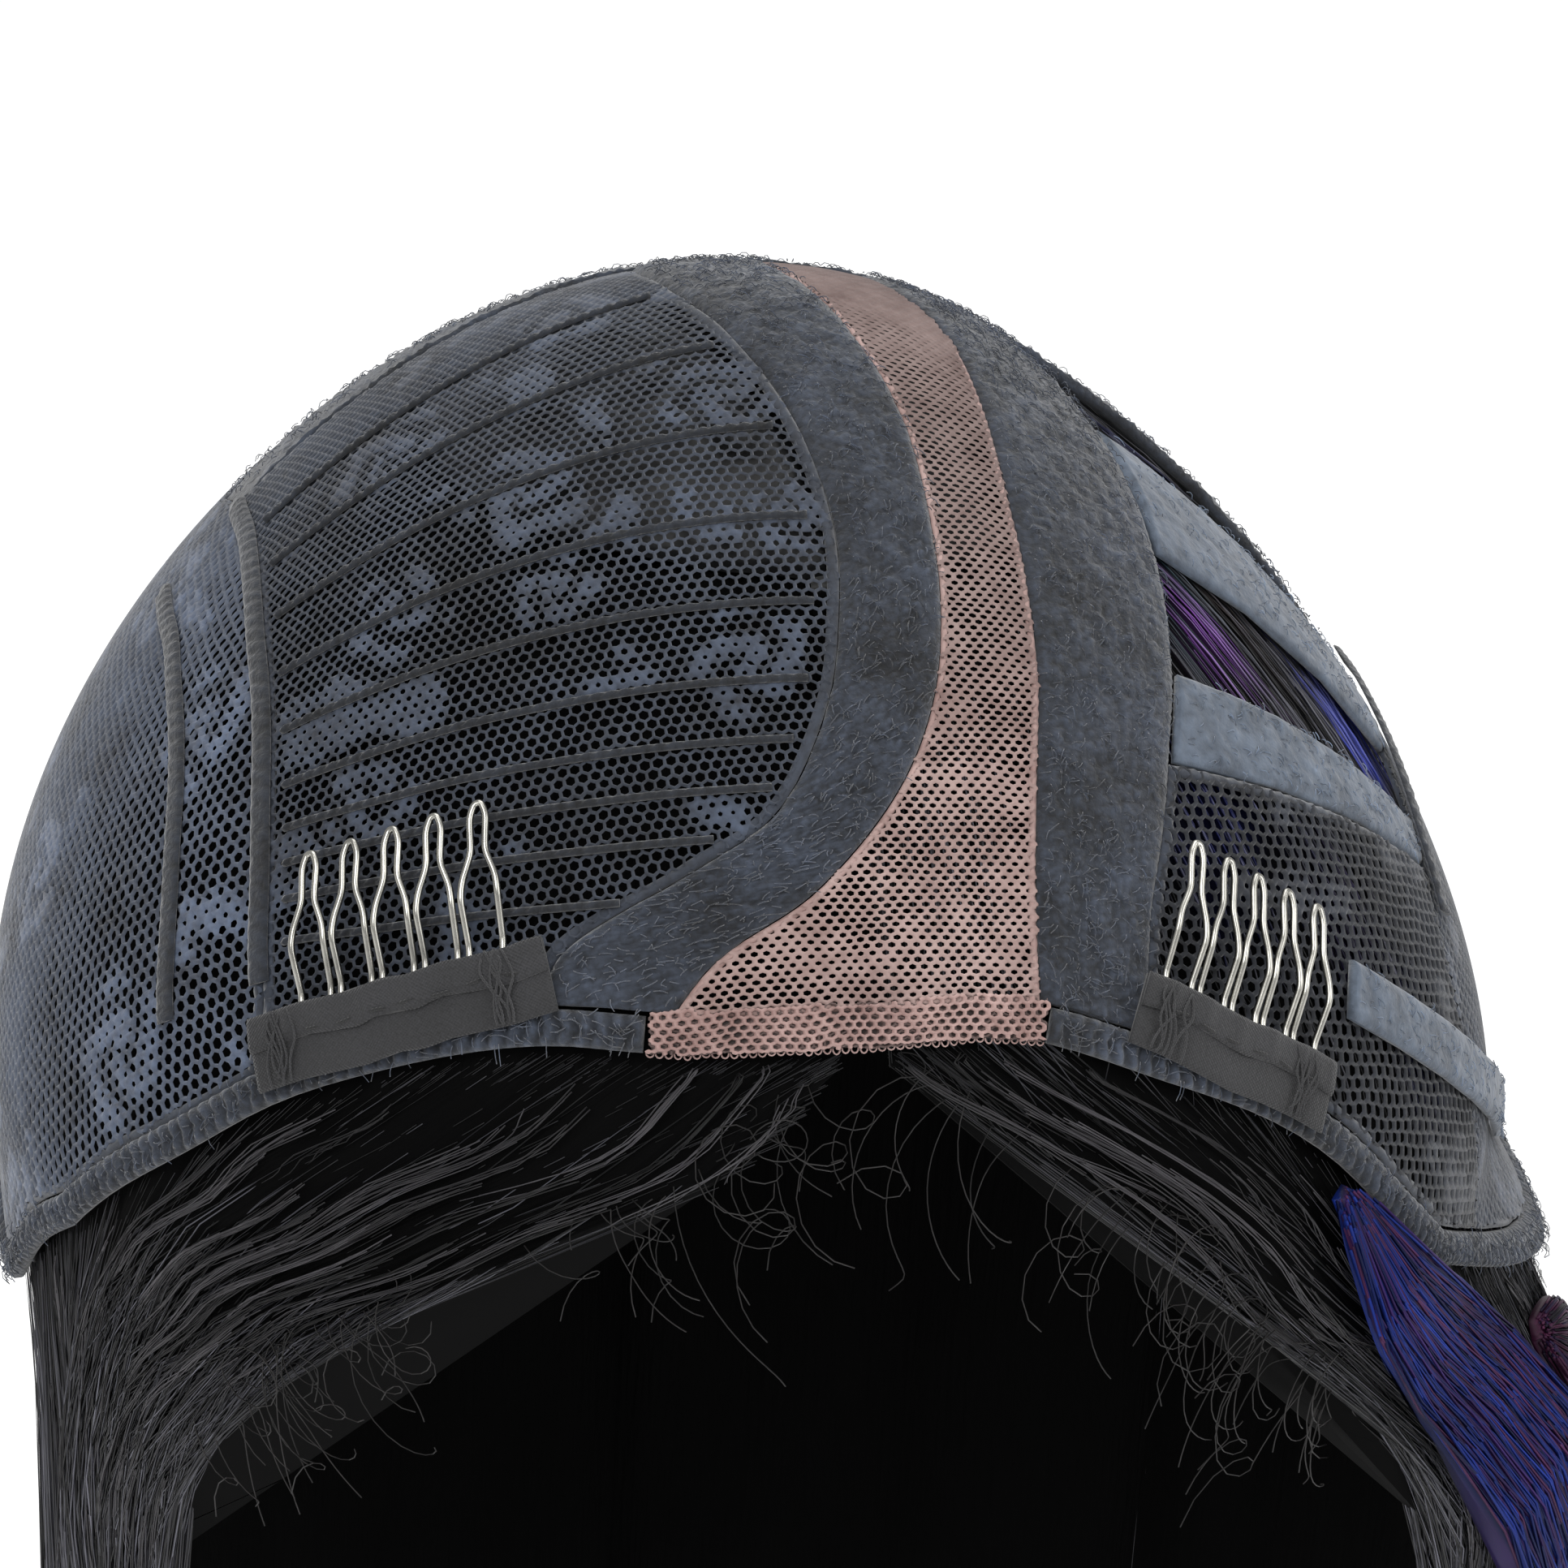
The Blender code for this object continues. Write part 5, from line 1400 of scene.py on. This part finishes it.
    def wall_between(self, piece: Workpiece, top: Array, back: Array, tint: Array) -> None:
        """Adds a closed wall between two grids of points, the back one eight times plainer."""
        rows, columns = top.shape[:2]
        step = 8
        inner = back[::step, ::step]
        index = np.arange(rows * columns).reshape(rows, columns)
        behind = np.arange(inner.shape[0] * inner.shape[1]).reshape(inner.shape[:2]) + rows * columns
        edge = np.concatenate([index[0, :-1], index[:-1, -1], index[-1, :0:-1], index[:0:-1, 0]])
        below = np.concatenate([behind[0, :-1], behind[:-1, -1], behind[-1, :0:-1], behind[:0:-1, 0]])
        stretch = edge[(np.arange(0, len(edge), step)[:, None] + np.arange(step, -1, -1)) % len(edge)]
        faces = [quads_of(index), quads_of(behind)[:, ::-1], np.column_stack([stretch, below, np.roll(below, -1)])]
        middle = top[rows // 2, columns // 2]
        spin = np.cross(top[rows // 2, columns // 2 + 1] - middle, top[rows // 2 + 1, columns // 2] - middle)
        if spin @ self.plan.form.out(middle) < 0.0:
            faces = [face[:, ::-1] for face in faces]
        across, down = np.meshgrid(np.linspace(0.0, 0.08, columns), np.linspace(0.0, 0.25, rows))
        places = np.stack([across, down], axis=-1)
        piece.add(
            np.vstack([top.reshape(-1, 3), inner.reshape(-1, 3)]),
            faces,
            np.vstack([places.reshape(-1, 2), places[::step, ::step].reshape(-1, 2)]),
            np.vstack([tint.reshape(-1, 3), tint[::step, ::step].reshape(-1, 3)]),
        )

    def comb_out(self, piece: Workpiece, random: np.random.Generator, count: int, start: float, end: float,
                 radius: float) -> None:
        """Adds strands: each follows the section's flow, gathered to one of its tufts and waving a little."""
        share = np.linspace(0.0, 1.0, self.knots)[None]
        root = random.random((count, 1))
        tuft = (np.floor(root * 26.0) + 0.5) / 26.0 + random.normal(0.0, 0.006, (count, 1))
        begin = start + (end - start) * random.random((count, 1)) ** 2 * 0.55
        finish = end - (end - start) * random.random((count, 1)) ** 3 * 0.5
        down = begin + (finish - begin) * share
        pull = 0.55 * smooth(share) * random.random((count, 1))
        wave = 0.010 * np.sin(2.0 * math.pi * (share * random.uniform(0.5, 1.6, (count, 1)) + random.random((count, 1))))
        across = np.clip(root * (1.0 - pull) + tuft * pull + wave * share, 0.002, 0.998)
        depth = random.uniform(-0.10, 0.22, (count, 1)) + 0.06 * np.sin(7.0 * share + 6.0 * root)
        rim = random.random((count, 1)) < self.edge_share
        across = np.where(rim, random.uniform(-0.004, 0.004, (count, 1)), across)
        depth = np.where(rim, random.uniform(-0.1, 1.0, (count, 1)), depth)
        paths = self.place(across, down, depth)
        taper = radius * (1.0 - 0.6 * np.abs(2.0 * share - 1.0) ** 3) * random.uniform(0.6, 1.25, (count, 1))
        # Painted highlight: a grey lift added to the colour of a few strands, strongest at their middles
        painted_highlight = 70.0 * random.random((count, 1, 1)) ** 3 * (0.35 + 0.65 * np.sin(math.pi * share)[..., None])
        tint = self.colours.tint(paths) + np.array(linear(self.colours.black)) * painted_highlight
        piece.tubes(paths, taper, 3, tint)

    def frizz(self, piece: Workpiece, random: np.random.Generator) -> None:
        """Adds tufts of short hairs below the rim: each hair follows the flow and circles about it with its tuft."""
        share = np.linspace(0.0, 1.0, self.knots)[None]

        def draw(low: float, high: float, loose: float) -> Array:
            """A value for each tuft, with a loose addition for each of its hairs."""
            chosen = np.repeat(random.uniform(low, high, (self.tufts, 1)), self.tuft_hairs, axis=0)
            return chosen + random.normal(0.0, loose, chosen.shape)

        turn = draw(0.0, 2.0 * math.pi, 0.15) + draw(1.0, 7.0, 0.3) * share
        curl = draw(0.25, 1.0, 0.05) * smooth(1.6 * share)
        across = draw(0.01, 0.98, 0.0035) + draw(-0.03, 0.03, 0.004) * share + 0.013 * curl * np.cos(turn)
        down = draw(0.985, 1.42, 0.004) + draw(0.03, 0.11, 0.006) * share + 0.006 * curl * np.sin(turn)
        depth = draw(-0.12, 0.12, 0.02)
        paths = self.place(np.clip(across, -0.02, 0.995), down, np.broadcast_to(depth, across.shape))
        tint = np.array(linear(self.frizz_colour)) * draw(0.3, 8.0, 0.5).clip(0.2)
        piece.tubes(paths, 0.00010 * (1.0 - 0.5 * share**2), 3, tint)


@dataclass
class Flyaways:
    """Loose hairs of a section: they leave it between some shares across and down, and curl."""

    section: HairSection
    name: str
    count: int
    across: tuple
    down: tuple
    reach: float
    curls: tuple = (0.0015, 0.0045)
    turns: tuple = (0.3, 1.5)
    shades: tuple = (0.6, 2.0)
    knots: int = 16
    seed: int = 91

    def make(self) -> None:
        """Makes the hairs: drifting loops laid on the form, each a circle carried along a slanting line."""
        form = self.section.plan.form
        random = np.random.default_rng(self.seed)
        share = np.linspace(0.0, 1.0, self.knots)[None]
        root = self.section.place(
            random.uniform(*self.across, (self.count, 1)), random.uniform(*self.down, (self.count, 1)), 0.1
        )
        up = unit(np.broadcast_to(np.array([0.0, 0.0, 1.0]), root.shape))
        side = unit(np.cross(up, form.out(root)))
        inward = -math.copysign(1.0, self.section.back)
        drift = random.uniform(0.1, 1.0, (self.count, 1)) * self.reach
        curl = random.uniform(*self.curls, (self.count, 1))
        turns = random.uniform(*self.turns, (self.count, 1)) * 2.0 * math.pi
        phase = random.uniform(0.0, 2.0 * math.pi, (self.count, 1))
        level = inward * drift * 0.55 * share + curl * (np.cos(phase + turns * share) - np.cos(phase))
        fall = -drift * share - random.uniform(0.0, 0.010, (self.count, 1)) * share
        fall = fall + curl * (np.sin(phase + turns * share) - np.sin(phase))
        paths = root + side * level[..., None] + up * fall[..., None]
        paths = form.on_form(paths, random.uniform(-0.004, 0.0015, (self.count, 1)) * smooth(share * 2.0) - 0.0015)
        tint = np.array(linear("#1e1c1c")) * random.uniform(*self.shades, (self.count, 1))
        piece = Workpiece(form)
        piece.tubes(paths, 0.00009, 3, tint)
        piece.build(self.name, HAIR_FIBRE)


@dataclass
class HairCrown:
    """The hair over the apex: a closed disc of furrows that meet at the top."""

    plan: CapPlan
    fall: float = 0.30
    gap: float = 0.0011
    wall: float = 0.0040

    def make(self) -> None:
        """Makes the disc from rings of points, each ring one fall lower, closed at the apex on both sides."""
        form = self.plan.form
        rings, around = 16, 120
        fall = np.linspace(0.0, self.fall, rings + 1)[1:, None]
        azimuth = np.linspace(0.0, 360.0, around, endpoint=False)[None]
        place = form.around(azimuth, fall)
        furrow = wander(azimuth / 4.0, fall * 30.0, 71)
        tint = HairColours().tint(place) * (0.8 + 0.3 * furrow[..., None])
        outer = form.on_form(place, -self.gap - self.wall * (0.15 + 0.12 * furrow) * smooth(fall / 0.05))
        inner = form.on_form(place, -self.gap - self.wall)
        apex = form.around(0.0, 0.0)
        tops = np.stack([form.on_form(apex, -self.gap), form.on_form(apex, -self.gap - self.wall)])
        points = np.vstack([outer.reshape(-1, 3), inner.reshape(-1, 3), tops])
        index = np.arange(rings * around).reshape(rings, around)
        index = np.column_stack([index, index[:, 0]])
        behind = index + rings * around
        caps = [
            np.column_stack([np.full(around, 2 * rings * around + at), ring[0, side], ring[0, other]])
            for at, ring, side, other in ((0, index, slice(0, -1), slice(1, None)), (1, behind, slice(1, None), slice(0, -1)))
        ]
        skirt = np.column_stack([index[-1, 1:], index[-1, :-1], behind[-1, :-1], behind[-1, 1:]])
        faces = [quads_of(index)[:, ::-1], quads_of(behind), caps[0], caps[1], skirt[:, ::-1]]
        places = np.zeros((len(points), 2))
        shades = np.vstack([tint.reshape(-1, 3), tint.reshape(-1, 3), np.tile(linear("#0e0e10"), (2, 1))])
        piece = Workpiece(form)
        piece.add(points, faces, places, shades)
        piece.build("hair_crown_disc", HAIR_FIBRE, ("hair_crown",))


@dataclass
class DyedLock:
    """A dyed lock laid over the hair below the rim: a lens of hair dressed with strands of several dyes."""

    section: HairSection
    node: str
    rows: tuple
    finish: Finish
    dyes: tuple
    above: float
    wall: float = 0.0030
    width: float = 0.0200
    strands: int = 260

    def make(self) -> None:
        """Makes the lock: its half width is a sine of the share along it, and its strands follow its sides."""
        form, hair = self.section.plan.form, self.section
        centre = form.line([form.around(*row) for row in self.rows], 48)
        share = np.linspace(0.0, 1.0, len(centre))
        half = self.width / 2.0 * (0.12 + 0.88 * np.sin(math.pi * share) ** 0.7)
        grid = form.strip(centre, -half, half, 17)
        low = self.lift(grid, hair, centre[0, 2])
        across = np.linspace(-1.0, 1.0, 17)[None]
        seed = len(self.node)
        furrow = wander(across * 9.0, share[:, None] * 4.0, seed)
        high = low + self.wall * (0.45 - 0.35 * across**4 + 0.10 * furrow)
        dye = np.array([linear(colour) for colour in self.dyes])
        pick = np.clip((wander(across * 2.2 + 5.0, share[:, None] * 1.5, seed + 1) + 1.0) / 2.0 * len(dye), 0, len(dye) - 1)
        tint = dye[pick.astype(int)] * (0.5 + 0.3 * furrow[..., None])
        piece = Workpiece(form)
        piece.slab(grid, low, high, tint, 16)
        random = np.random.default_rng(seed)
        along = np.linspace(0.02, 0.98, 9)[None] + random.normal(0.0, 0.01, (self.strands, 1))
        lane = random.uniform(-0.95, 0.95, (self.strands, 1)) + 0.10 * np.sin(8.0 * along + 20.0 * random.random((self.strands, 1)))
        foot = np.stack([np.interp(along, share, centre[:, axis]) for axis in range(3)], axis=-1)
        way = np.stack([np.interp(along, share, form.side_of(centre)[:, axis]) for axis in range(3)], axis=-1)
        wide = np.interp(along, share, half)
        places = form.on_form(foot + way * (np.clip(lane, -1.0, 1.0) * wide)[..., None])
        height = self.lift(places, hair, centre[0, 2]) + self.wall * random.uniform(0.25, 0.85, (self.strands, 1))
        shade = dye[random.integers(0, len(dye), self.strands)] * random.uniform(0.5, 1.5, (self.strands, 1))
        piece.tubes(form.on_form(places, height), 0.00022, 3, shade)
        piece.build(f"{self.node}_strands", self.finish, (self.node,))

    def lift(self, points: Array, hair: HairSection, start: float) -> Array:
        """Height of the lock's back: the hair's flare below the lock's start, and the gap above the hair."""
        azimuth = np.degrees(np.arctan2(points[..., 0], -points[..., 1]))
        most = hair.flare_left + (hair.flare_right - hair.flare_left) * smooth(np.sin(np.radians(azimuth)))
        return most * smooth((start - points[..., 2]) / hair.flare_length) - hair.gap + self.above


@dataclass
class Studio:
    """Pale floor, soft lights and the camera at the photograph's angle."""

    form: HeadForm
    azimuth: float = -10.0
    elevation: float = 30.0
    roll: float = 2.92
    distance: float = 0.650
    focal_pixels: float = 6281.0
    image_side: float = 1932.0
    centre_pixel: tuple = (908.8, 1250.5)
    floor_height: float = -0.300
    floor_side: float = 12.0

    def make(self) -> None:
        """Makes the floor, the lights and the camera."""
        self.make_floor()
        self.make_lights()
        self.make_camera()

    def make_floor(self) -> None:
        """A wide pale plane below the hem."""
        half = self.floor_side / 2.0
        data = bpy.data.meshes.new("floor")
        corners = [(-half, -half), (half, -half), (half, half), (-half, half)]
        data.from_pydata([(x, y, self.floor_height) for x, y in corners], [], [(0, 1, 2, 3)])
        paint = bpy.data.materials.new("matt_white_paint")
        paint.use_nodes = True
        shader = paint.node_tree.nodes["Principled BSDF"]
        shader.inputs["Base Color"].default_value = (*linear("#fbfbfb"), 1.0)
        shader.inputs["Roughness"].default_value = 0.9
        data.materials.append(paint)
        floor = bpy.data.objects.new("floor", data)
        bpy.context.scene.collection.objects.link(floor)

    def make_lights(self) -> None:
        """Large soft lamps from the front, the sides and above, and a white sky."""
        lamps = (
            ("key", (-0.9, -1.5, 1.5), 1.4, 34.0),
            ("fill", (1.5, -1.2, 0.9), 1.4, 18.0),
            ("top", (0.1, 0.3, 2.0), 1.8, 26.0),
        )
        for name, place, side, power in lamps:
            lamp = bpy.data.lights.new(name, "AREA")
            lamp.shape, lamp.size, lamp.energy = "SQUARE", side, power
            made = bpy.data.objects.new(name, lamp)
            made.location = place
            made.rotation_euler = (Vector((0.0, 0.0, -0.08)) - Vector(place)).to_track_quat("-Z", "Y").to_euler()
            bpy.context.scene.collection.objects.link(made)
        world = bpy.data.worlds.new("studio")
        world.use_nodes = True
        sky = world.node_tree.nodes["Background"]
        sky.inputs["Color"].default_value = (1.0, 1.0, 1.0, 1.0)
        sky.inputs["Strength"].default_value = 0.50
        bpy.context.scene.world = world
        bpy.context.scene.view_settings.view_transform = "Standard"

    def make_camera(self) -> None:
        """The camera, turned so that the dome's centre falls on its place in the photograph."""
        turn, rise, roll = (math.radians(angle) for angle in (self.azimuth, self.elevation, self.roll))
        back = Vector((math.sin(turn) * math.cos(rise), -math.cos(turn) * math.cos(rise), math.sin(rise)))
        right = (-back).cross(Vector((0.0, 0.0, 1.0))).normalized()
        up = right.cross(-back)
        right, up = right * math.cos(roll) + up * math.sin(roll), up * math.cos(roll) - right * math.sin(roll)
        middle = self.image_side / 2.0
        aside = (self.centre_pixel[0] - middle) / self.focal_pixels
        below = (self.centre_pixel[1] - middle) / self.focal_pixels
        back = (back + right * aside - up * below).normalized()
        right = up.cross(back).normalized()
        up = back.cross(right)
        lens = bpy.data.cameras.new("camera")
        lens.sensor_width = 36.0
        lens.lens = lens.sensor_width * self.focal_pixels / self.image_side
        lens.clip_start, lens.clip_end = 0.01, 50.0
        camera = bpy.data.objects.new("camera", lens)
        turned = Matrix((right, up, back)).transposed().to_4x4()
        centre = Vector(self.form.centre)
        eye = Vector((math.sin(turn) * math.cos(rise), -math.cos(turn) * math.cos(rise), math.sin(rise)))
        turned.translation = centre + eye * self.distance
        camera.matrix_world = turned
        bpy.context.scene.collection.objects.link(camera)
        bpy.context.scene.camera = camera


def flat_of(chart: Chart, side: float, angle: float, radius: float, turn: float) -> tuple:
    """A rose at an angle to the side and over the head, as a place on a net's map with its radius and turn."""
    x, y = chart.to_flat(chart.form.over(side, angle)[None])[0]
    return (float(x), float(y), radius, turn)


def make_nets(plan: CapPlan) -> None:
    """Makes the six net panels: fine cells on the crown, wider ones at the sides and back."""
    form = plan.form
    fine = Honeycomb(0.0015, 0.95, 0.00022, 0.0005, 0.0008)
    wide = Honeycomb(0.0019, 0.95, 0.00030, 0.0005, 0.0009)
    coarse = Honeycomb(0.0024, 0.95, 0.00038, 0.0005, 0.0009)
    crown_left = (tuple(form.over(-20.0, 66.0)), (0.0, 0.91, 0.40))
    crown_right = (tuple(form.over(42.0, 35.0)), (0.0, 0.57, 0.81))
    chart = Chart(form, *crown_left)
    roses = tuple(
        flat_of(chart, *rose)
        for rose in (
            (-5, 79, 0.0095, 0.3), (-2, 67, 0.0065, 1.2), (-6, 55.5, 0.0100, 2.0), (-20, 74, 0.0110, 0.8),
            (-19, 63.5, 0.0070, 2.6), (-31, 67, 0.0090, 1.7), (-34, 50, 0.0080, 0.4), (-30, 88, 0.0110, 2.9),
            (-14, 96, 0.0100, 1.1),
        )
    )
    NetPanel(plan, "crown_net_left", *crown_left, fine, RosePattern(roses, 131), seed=31).make()
    # The right crown net is tinted down to 0.30: painted shade
    NetPanel(plan, "crown_net_right", *crown_right, wide, RosePattern((), 141, leaves=0.5), (0.30, 0.30, 0.32), 32).make()
    loose = tuple(
        (x * 0.042 + 0.021 * (y % 2), y * 0.036, 0.012, 1.3 * x + y) for x in range(-3, 4) for y in range(-4, 5)
    )
    for name, side, out in (("side_net_left", -1.0, 0), ("side_net_right", 1.0, 1)):
        middle = (side * 0.85, -0.05, 0.25)
        # The left side panel is tinted up 1.9 times: painted light on the left side
        tint = (1.0, 1.0, 1.0) if out else (1.9, 1.9, 1.9)
        NetPanel(plan, name, middle, (0.0, 0.0, 1.0), wide, RosePattern(loose, 151 + out), tint, 33 + out).make()
    for name, side, out in (("back_net_left", -1.0, 0), ("back_net_right", 1.0, 1)):
        middle = (side * 0.45, 0.85, 0.20)
        # The left back panel is tinted up 1.9 times: painted light on the left side
        tint = (1.0, 1.0, 1.0) if out else (1.9, 1.9, 1.9)
        NetPanel(plan, name, middle, (0.0, 0.0, 1.0), coarse, RosePattern(loose, 161 + out), tint, 35 + out).make()


def make_tracks(plan: CapPlan) -> None:
    """Makes the weft rows of the left net and the tapes over the upright seams."""
    form = plan.form
    net_top = 0.0015
    rows = (38.5, 42.5, 46.0, 49.5, 54.0, 60.0, 67.0, 75.0, 84.0, 94.0)
    edge = tuple((angle, side) for side, angle in plan.band_left)
    clear = math.degrees((0.0035 / 2.0 + 2.0 * plan.seam_gap) / form.crown_height)
    for number, angle in enumerate(rows, 1):
        end = float(follow(angle, edge)) - clear
        line = form.side_line(plan.seam_left + clear, end, angle, 60)
        Track(plan, f"weft_left_{number}", line, 0.0009, net_top - 0.0006, net_top + 0.0001, shade=0.45).make()
    left, left_2, right = plan.seam_left, plan.seam_left_2, plan.seam_right
    seams = (
        ("seam_left_1", form.over_line([(left, angle) for angle in (35, 60, 85, 106)], 80), 0.0015),
        ("seam_left_2", form.over_line([(left_2, angle) for angle in (32, 60, 85, 106)], 80), 0.0015),
        ("seam_right", form.over_line([(right, angle) for angle in (42, 60, 85, 106)], 80), 0.0020),
        ("seam_back", form.line([form.over(0.0, 123.0), form.over(0.0, 150.0), form.around(180.0, 1.60)], 80), 0.0015),
    )
    for name, line, low in seams:
        Track(plan, name, line, 0.0028, low - 0.0004, low + 0.0003, 0.0024, 0.50).make()


def make_straps(plan: CapPlan) -> None:
    """Makes the two straps across the open right side and the one sewn onto its net."""
    form, gap = plan.form, plan.seam_gap
    edge = tuple((angle, side) for side, angle in plan.band_right)
    for seed, (name, limits) in enumerate((("strap_a", plan.strap_a), ("strap_b", plan.strap_b))):
        angles = np.linspace(*limits, 5)
        starts = follow(angles, edge)
        grid = form.patch(
            form.line(form.over(starts, angles), 24),
            form.line(form.over(plan.seam_right, angles), 24),
            form.side_line(starts[0], plan.seam_right, limits[0], 72),
            form.side_line(starts[-1], plan.seam_right, limits[1], 72),
        )
        Strap(plan, name, form.trim(grid, gap, gap / 2.0, gap / 2.0, gap / 2.0), 0.0, seed=41 + 3 * seed).make()
    rows = ((44.5, 0.745), (54, 0.835), (64, 0.93), (74, 1.02), (82, 1.10))
    centre = form.line([form.around(*row) for row in rows], 84)
    Strap(plan, "strap_c", form.strip(centre, -0.0035, 0.0035, 13), 0.0015, seed=47).make()


def make_hair(plan: CapPlan) -> None:
    """Makes the hair's crown and sections, the loose hairs at the parting and the dyed locks."""
    HairCrown(plan).make()
    sections = (
        ("hair_front_left", 1, -78.0, 1700, 0, 260), ("hair_side_left", -78.0, -128.0, 520, 0, 36),
        ("hair_back_left", -128.0, -180.0, 480, 0, 16), ("hair_front_right", 2, 78.0, 1300, 360, 220),
        ("hair_side_right", 78.0, 128.0, 520, 140, 36), ("hair_back_right", 128.0, 180.0, 480, 0, 16),
    )
    made = {}
    for seed, (node, edge, back, strands, upper, tufts) in enumerate(sections):
        made[node] = HairSection(plan, node, edge, back, strands, upper, tufts, seed=61 + 4 * seed)
        made[node].make()
    for seed, side in enumerate(("left", "right")):
        front = made[f"hair_front_{side}"]
        Flyaways(front, f"flyaways_{side}", 60, (0.0, 0.05), (1.0, 1.18), 0.012, seed=91 + seed).make()
    right = made["hair_front_right"]
    blue = ((37, 0.880), (41, 0.970), (46, 1.065), (52, 1.20), (57, 1.38), (61, 1.62), (63, 1.90))
    magenta = ((66, 1.26), (73, 1.38), (78, 1.60), (80, 2.00))
    dyes = ("#15276e", "#1f3690", "#0f1a50", "#35215c", "#4a264c")
    DyedLock(right, "lock_blue", blue, BLUE_FIBRE, dyes, 0.0020, strands=460).make()
    dyes = ("#42203c", "#562948", "#2a1a40", "#180f22")
    DyedLock(right, "lock_magenta", magenta, MAGENTA_FIBRE, dyes, 0.0006, strands=300).make()


def main() -> None:
    """Builds the wig's visual model over the frame."""
    logging.basicConfig(level=logging.INFO, format="%(message)s")
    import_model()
    form = HeadForm()
    plan = CapPlan(form)
    Studio(form).make()
    LacePart(plan).make()
    KnitBand(plan, "part_band_left", 300, 24, fibres=1500, seed=21).make()
    KnitBand(plan, "part_band_right", 336, 28, fibres=1800, seed=25).make()
    KnitBand(plan, "crown_band", 20, 240, fibres=700, seed=29).make()
    make_nets(plan)
    make_tracks(plan)
    make_straps(plan)
    Rim(plan, Side.LEFT).make()
    Rim(plan, Side.RIGHT).make()
    CombClip(form, Side.LEFT, ((-46.0, 0.772), (-35.1, 0.706), (-24.5, 0.653)), (0.0048, 0.0049), 0.200).make()
    CombClip(form, Side.RIGHT, ((22.0, 0.688), (29.3, 0.742), (37.0, 0.803)), (0.0034, 0.0004), -0.230).make()
    make_hair(plan)


if __name__ == "__main__":
    main()
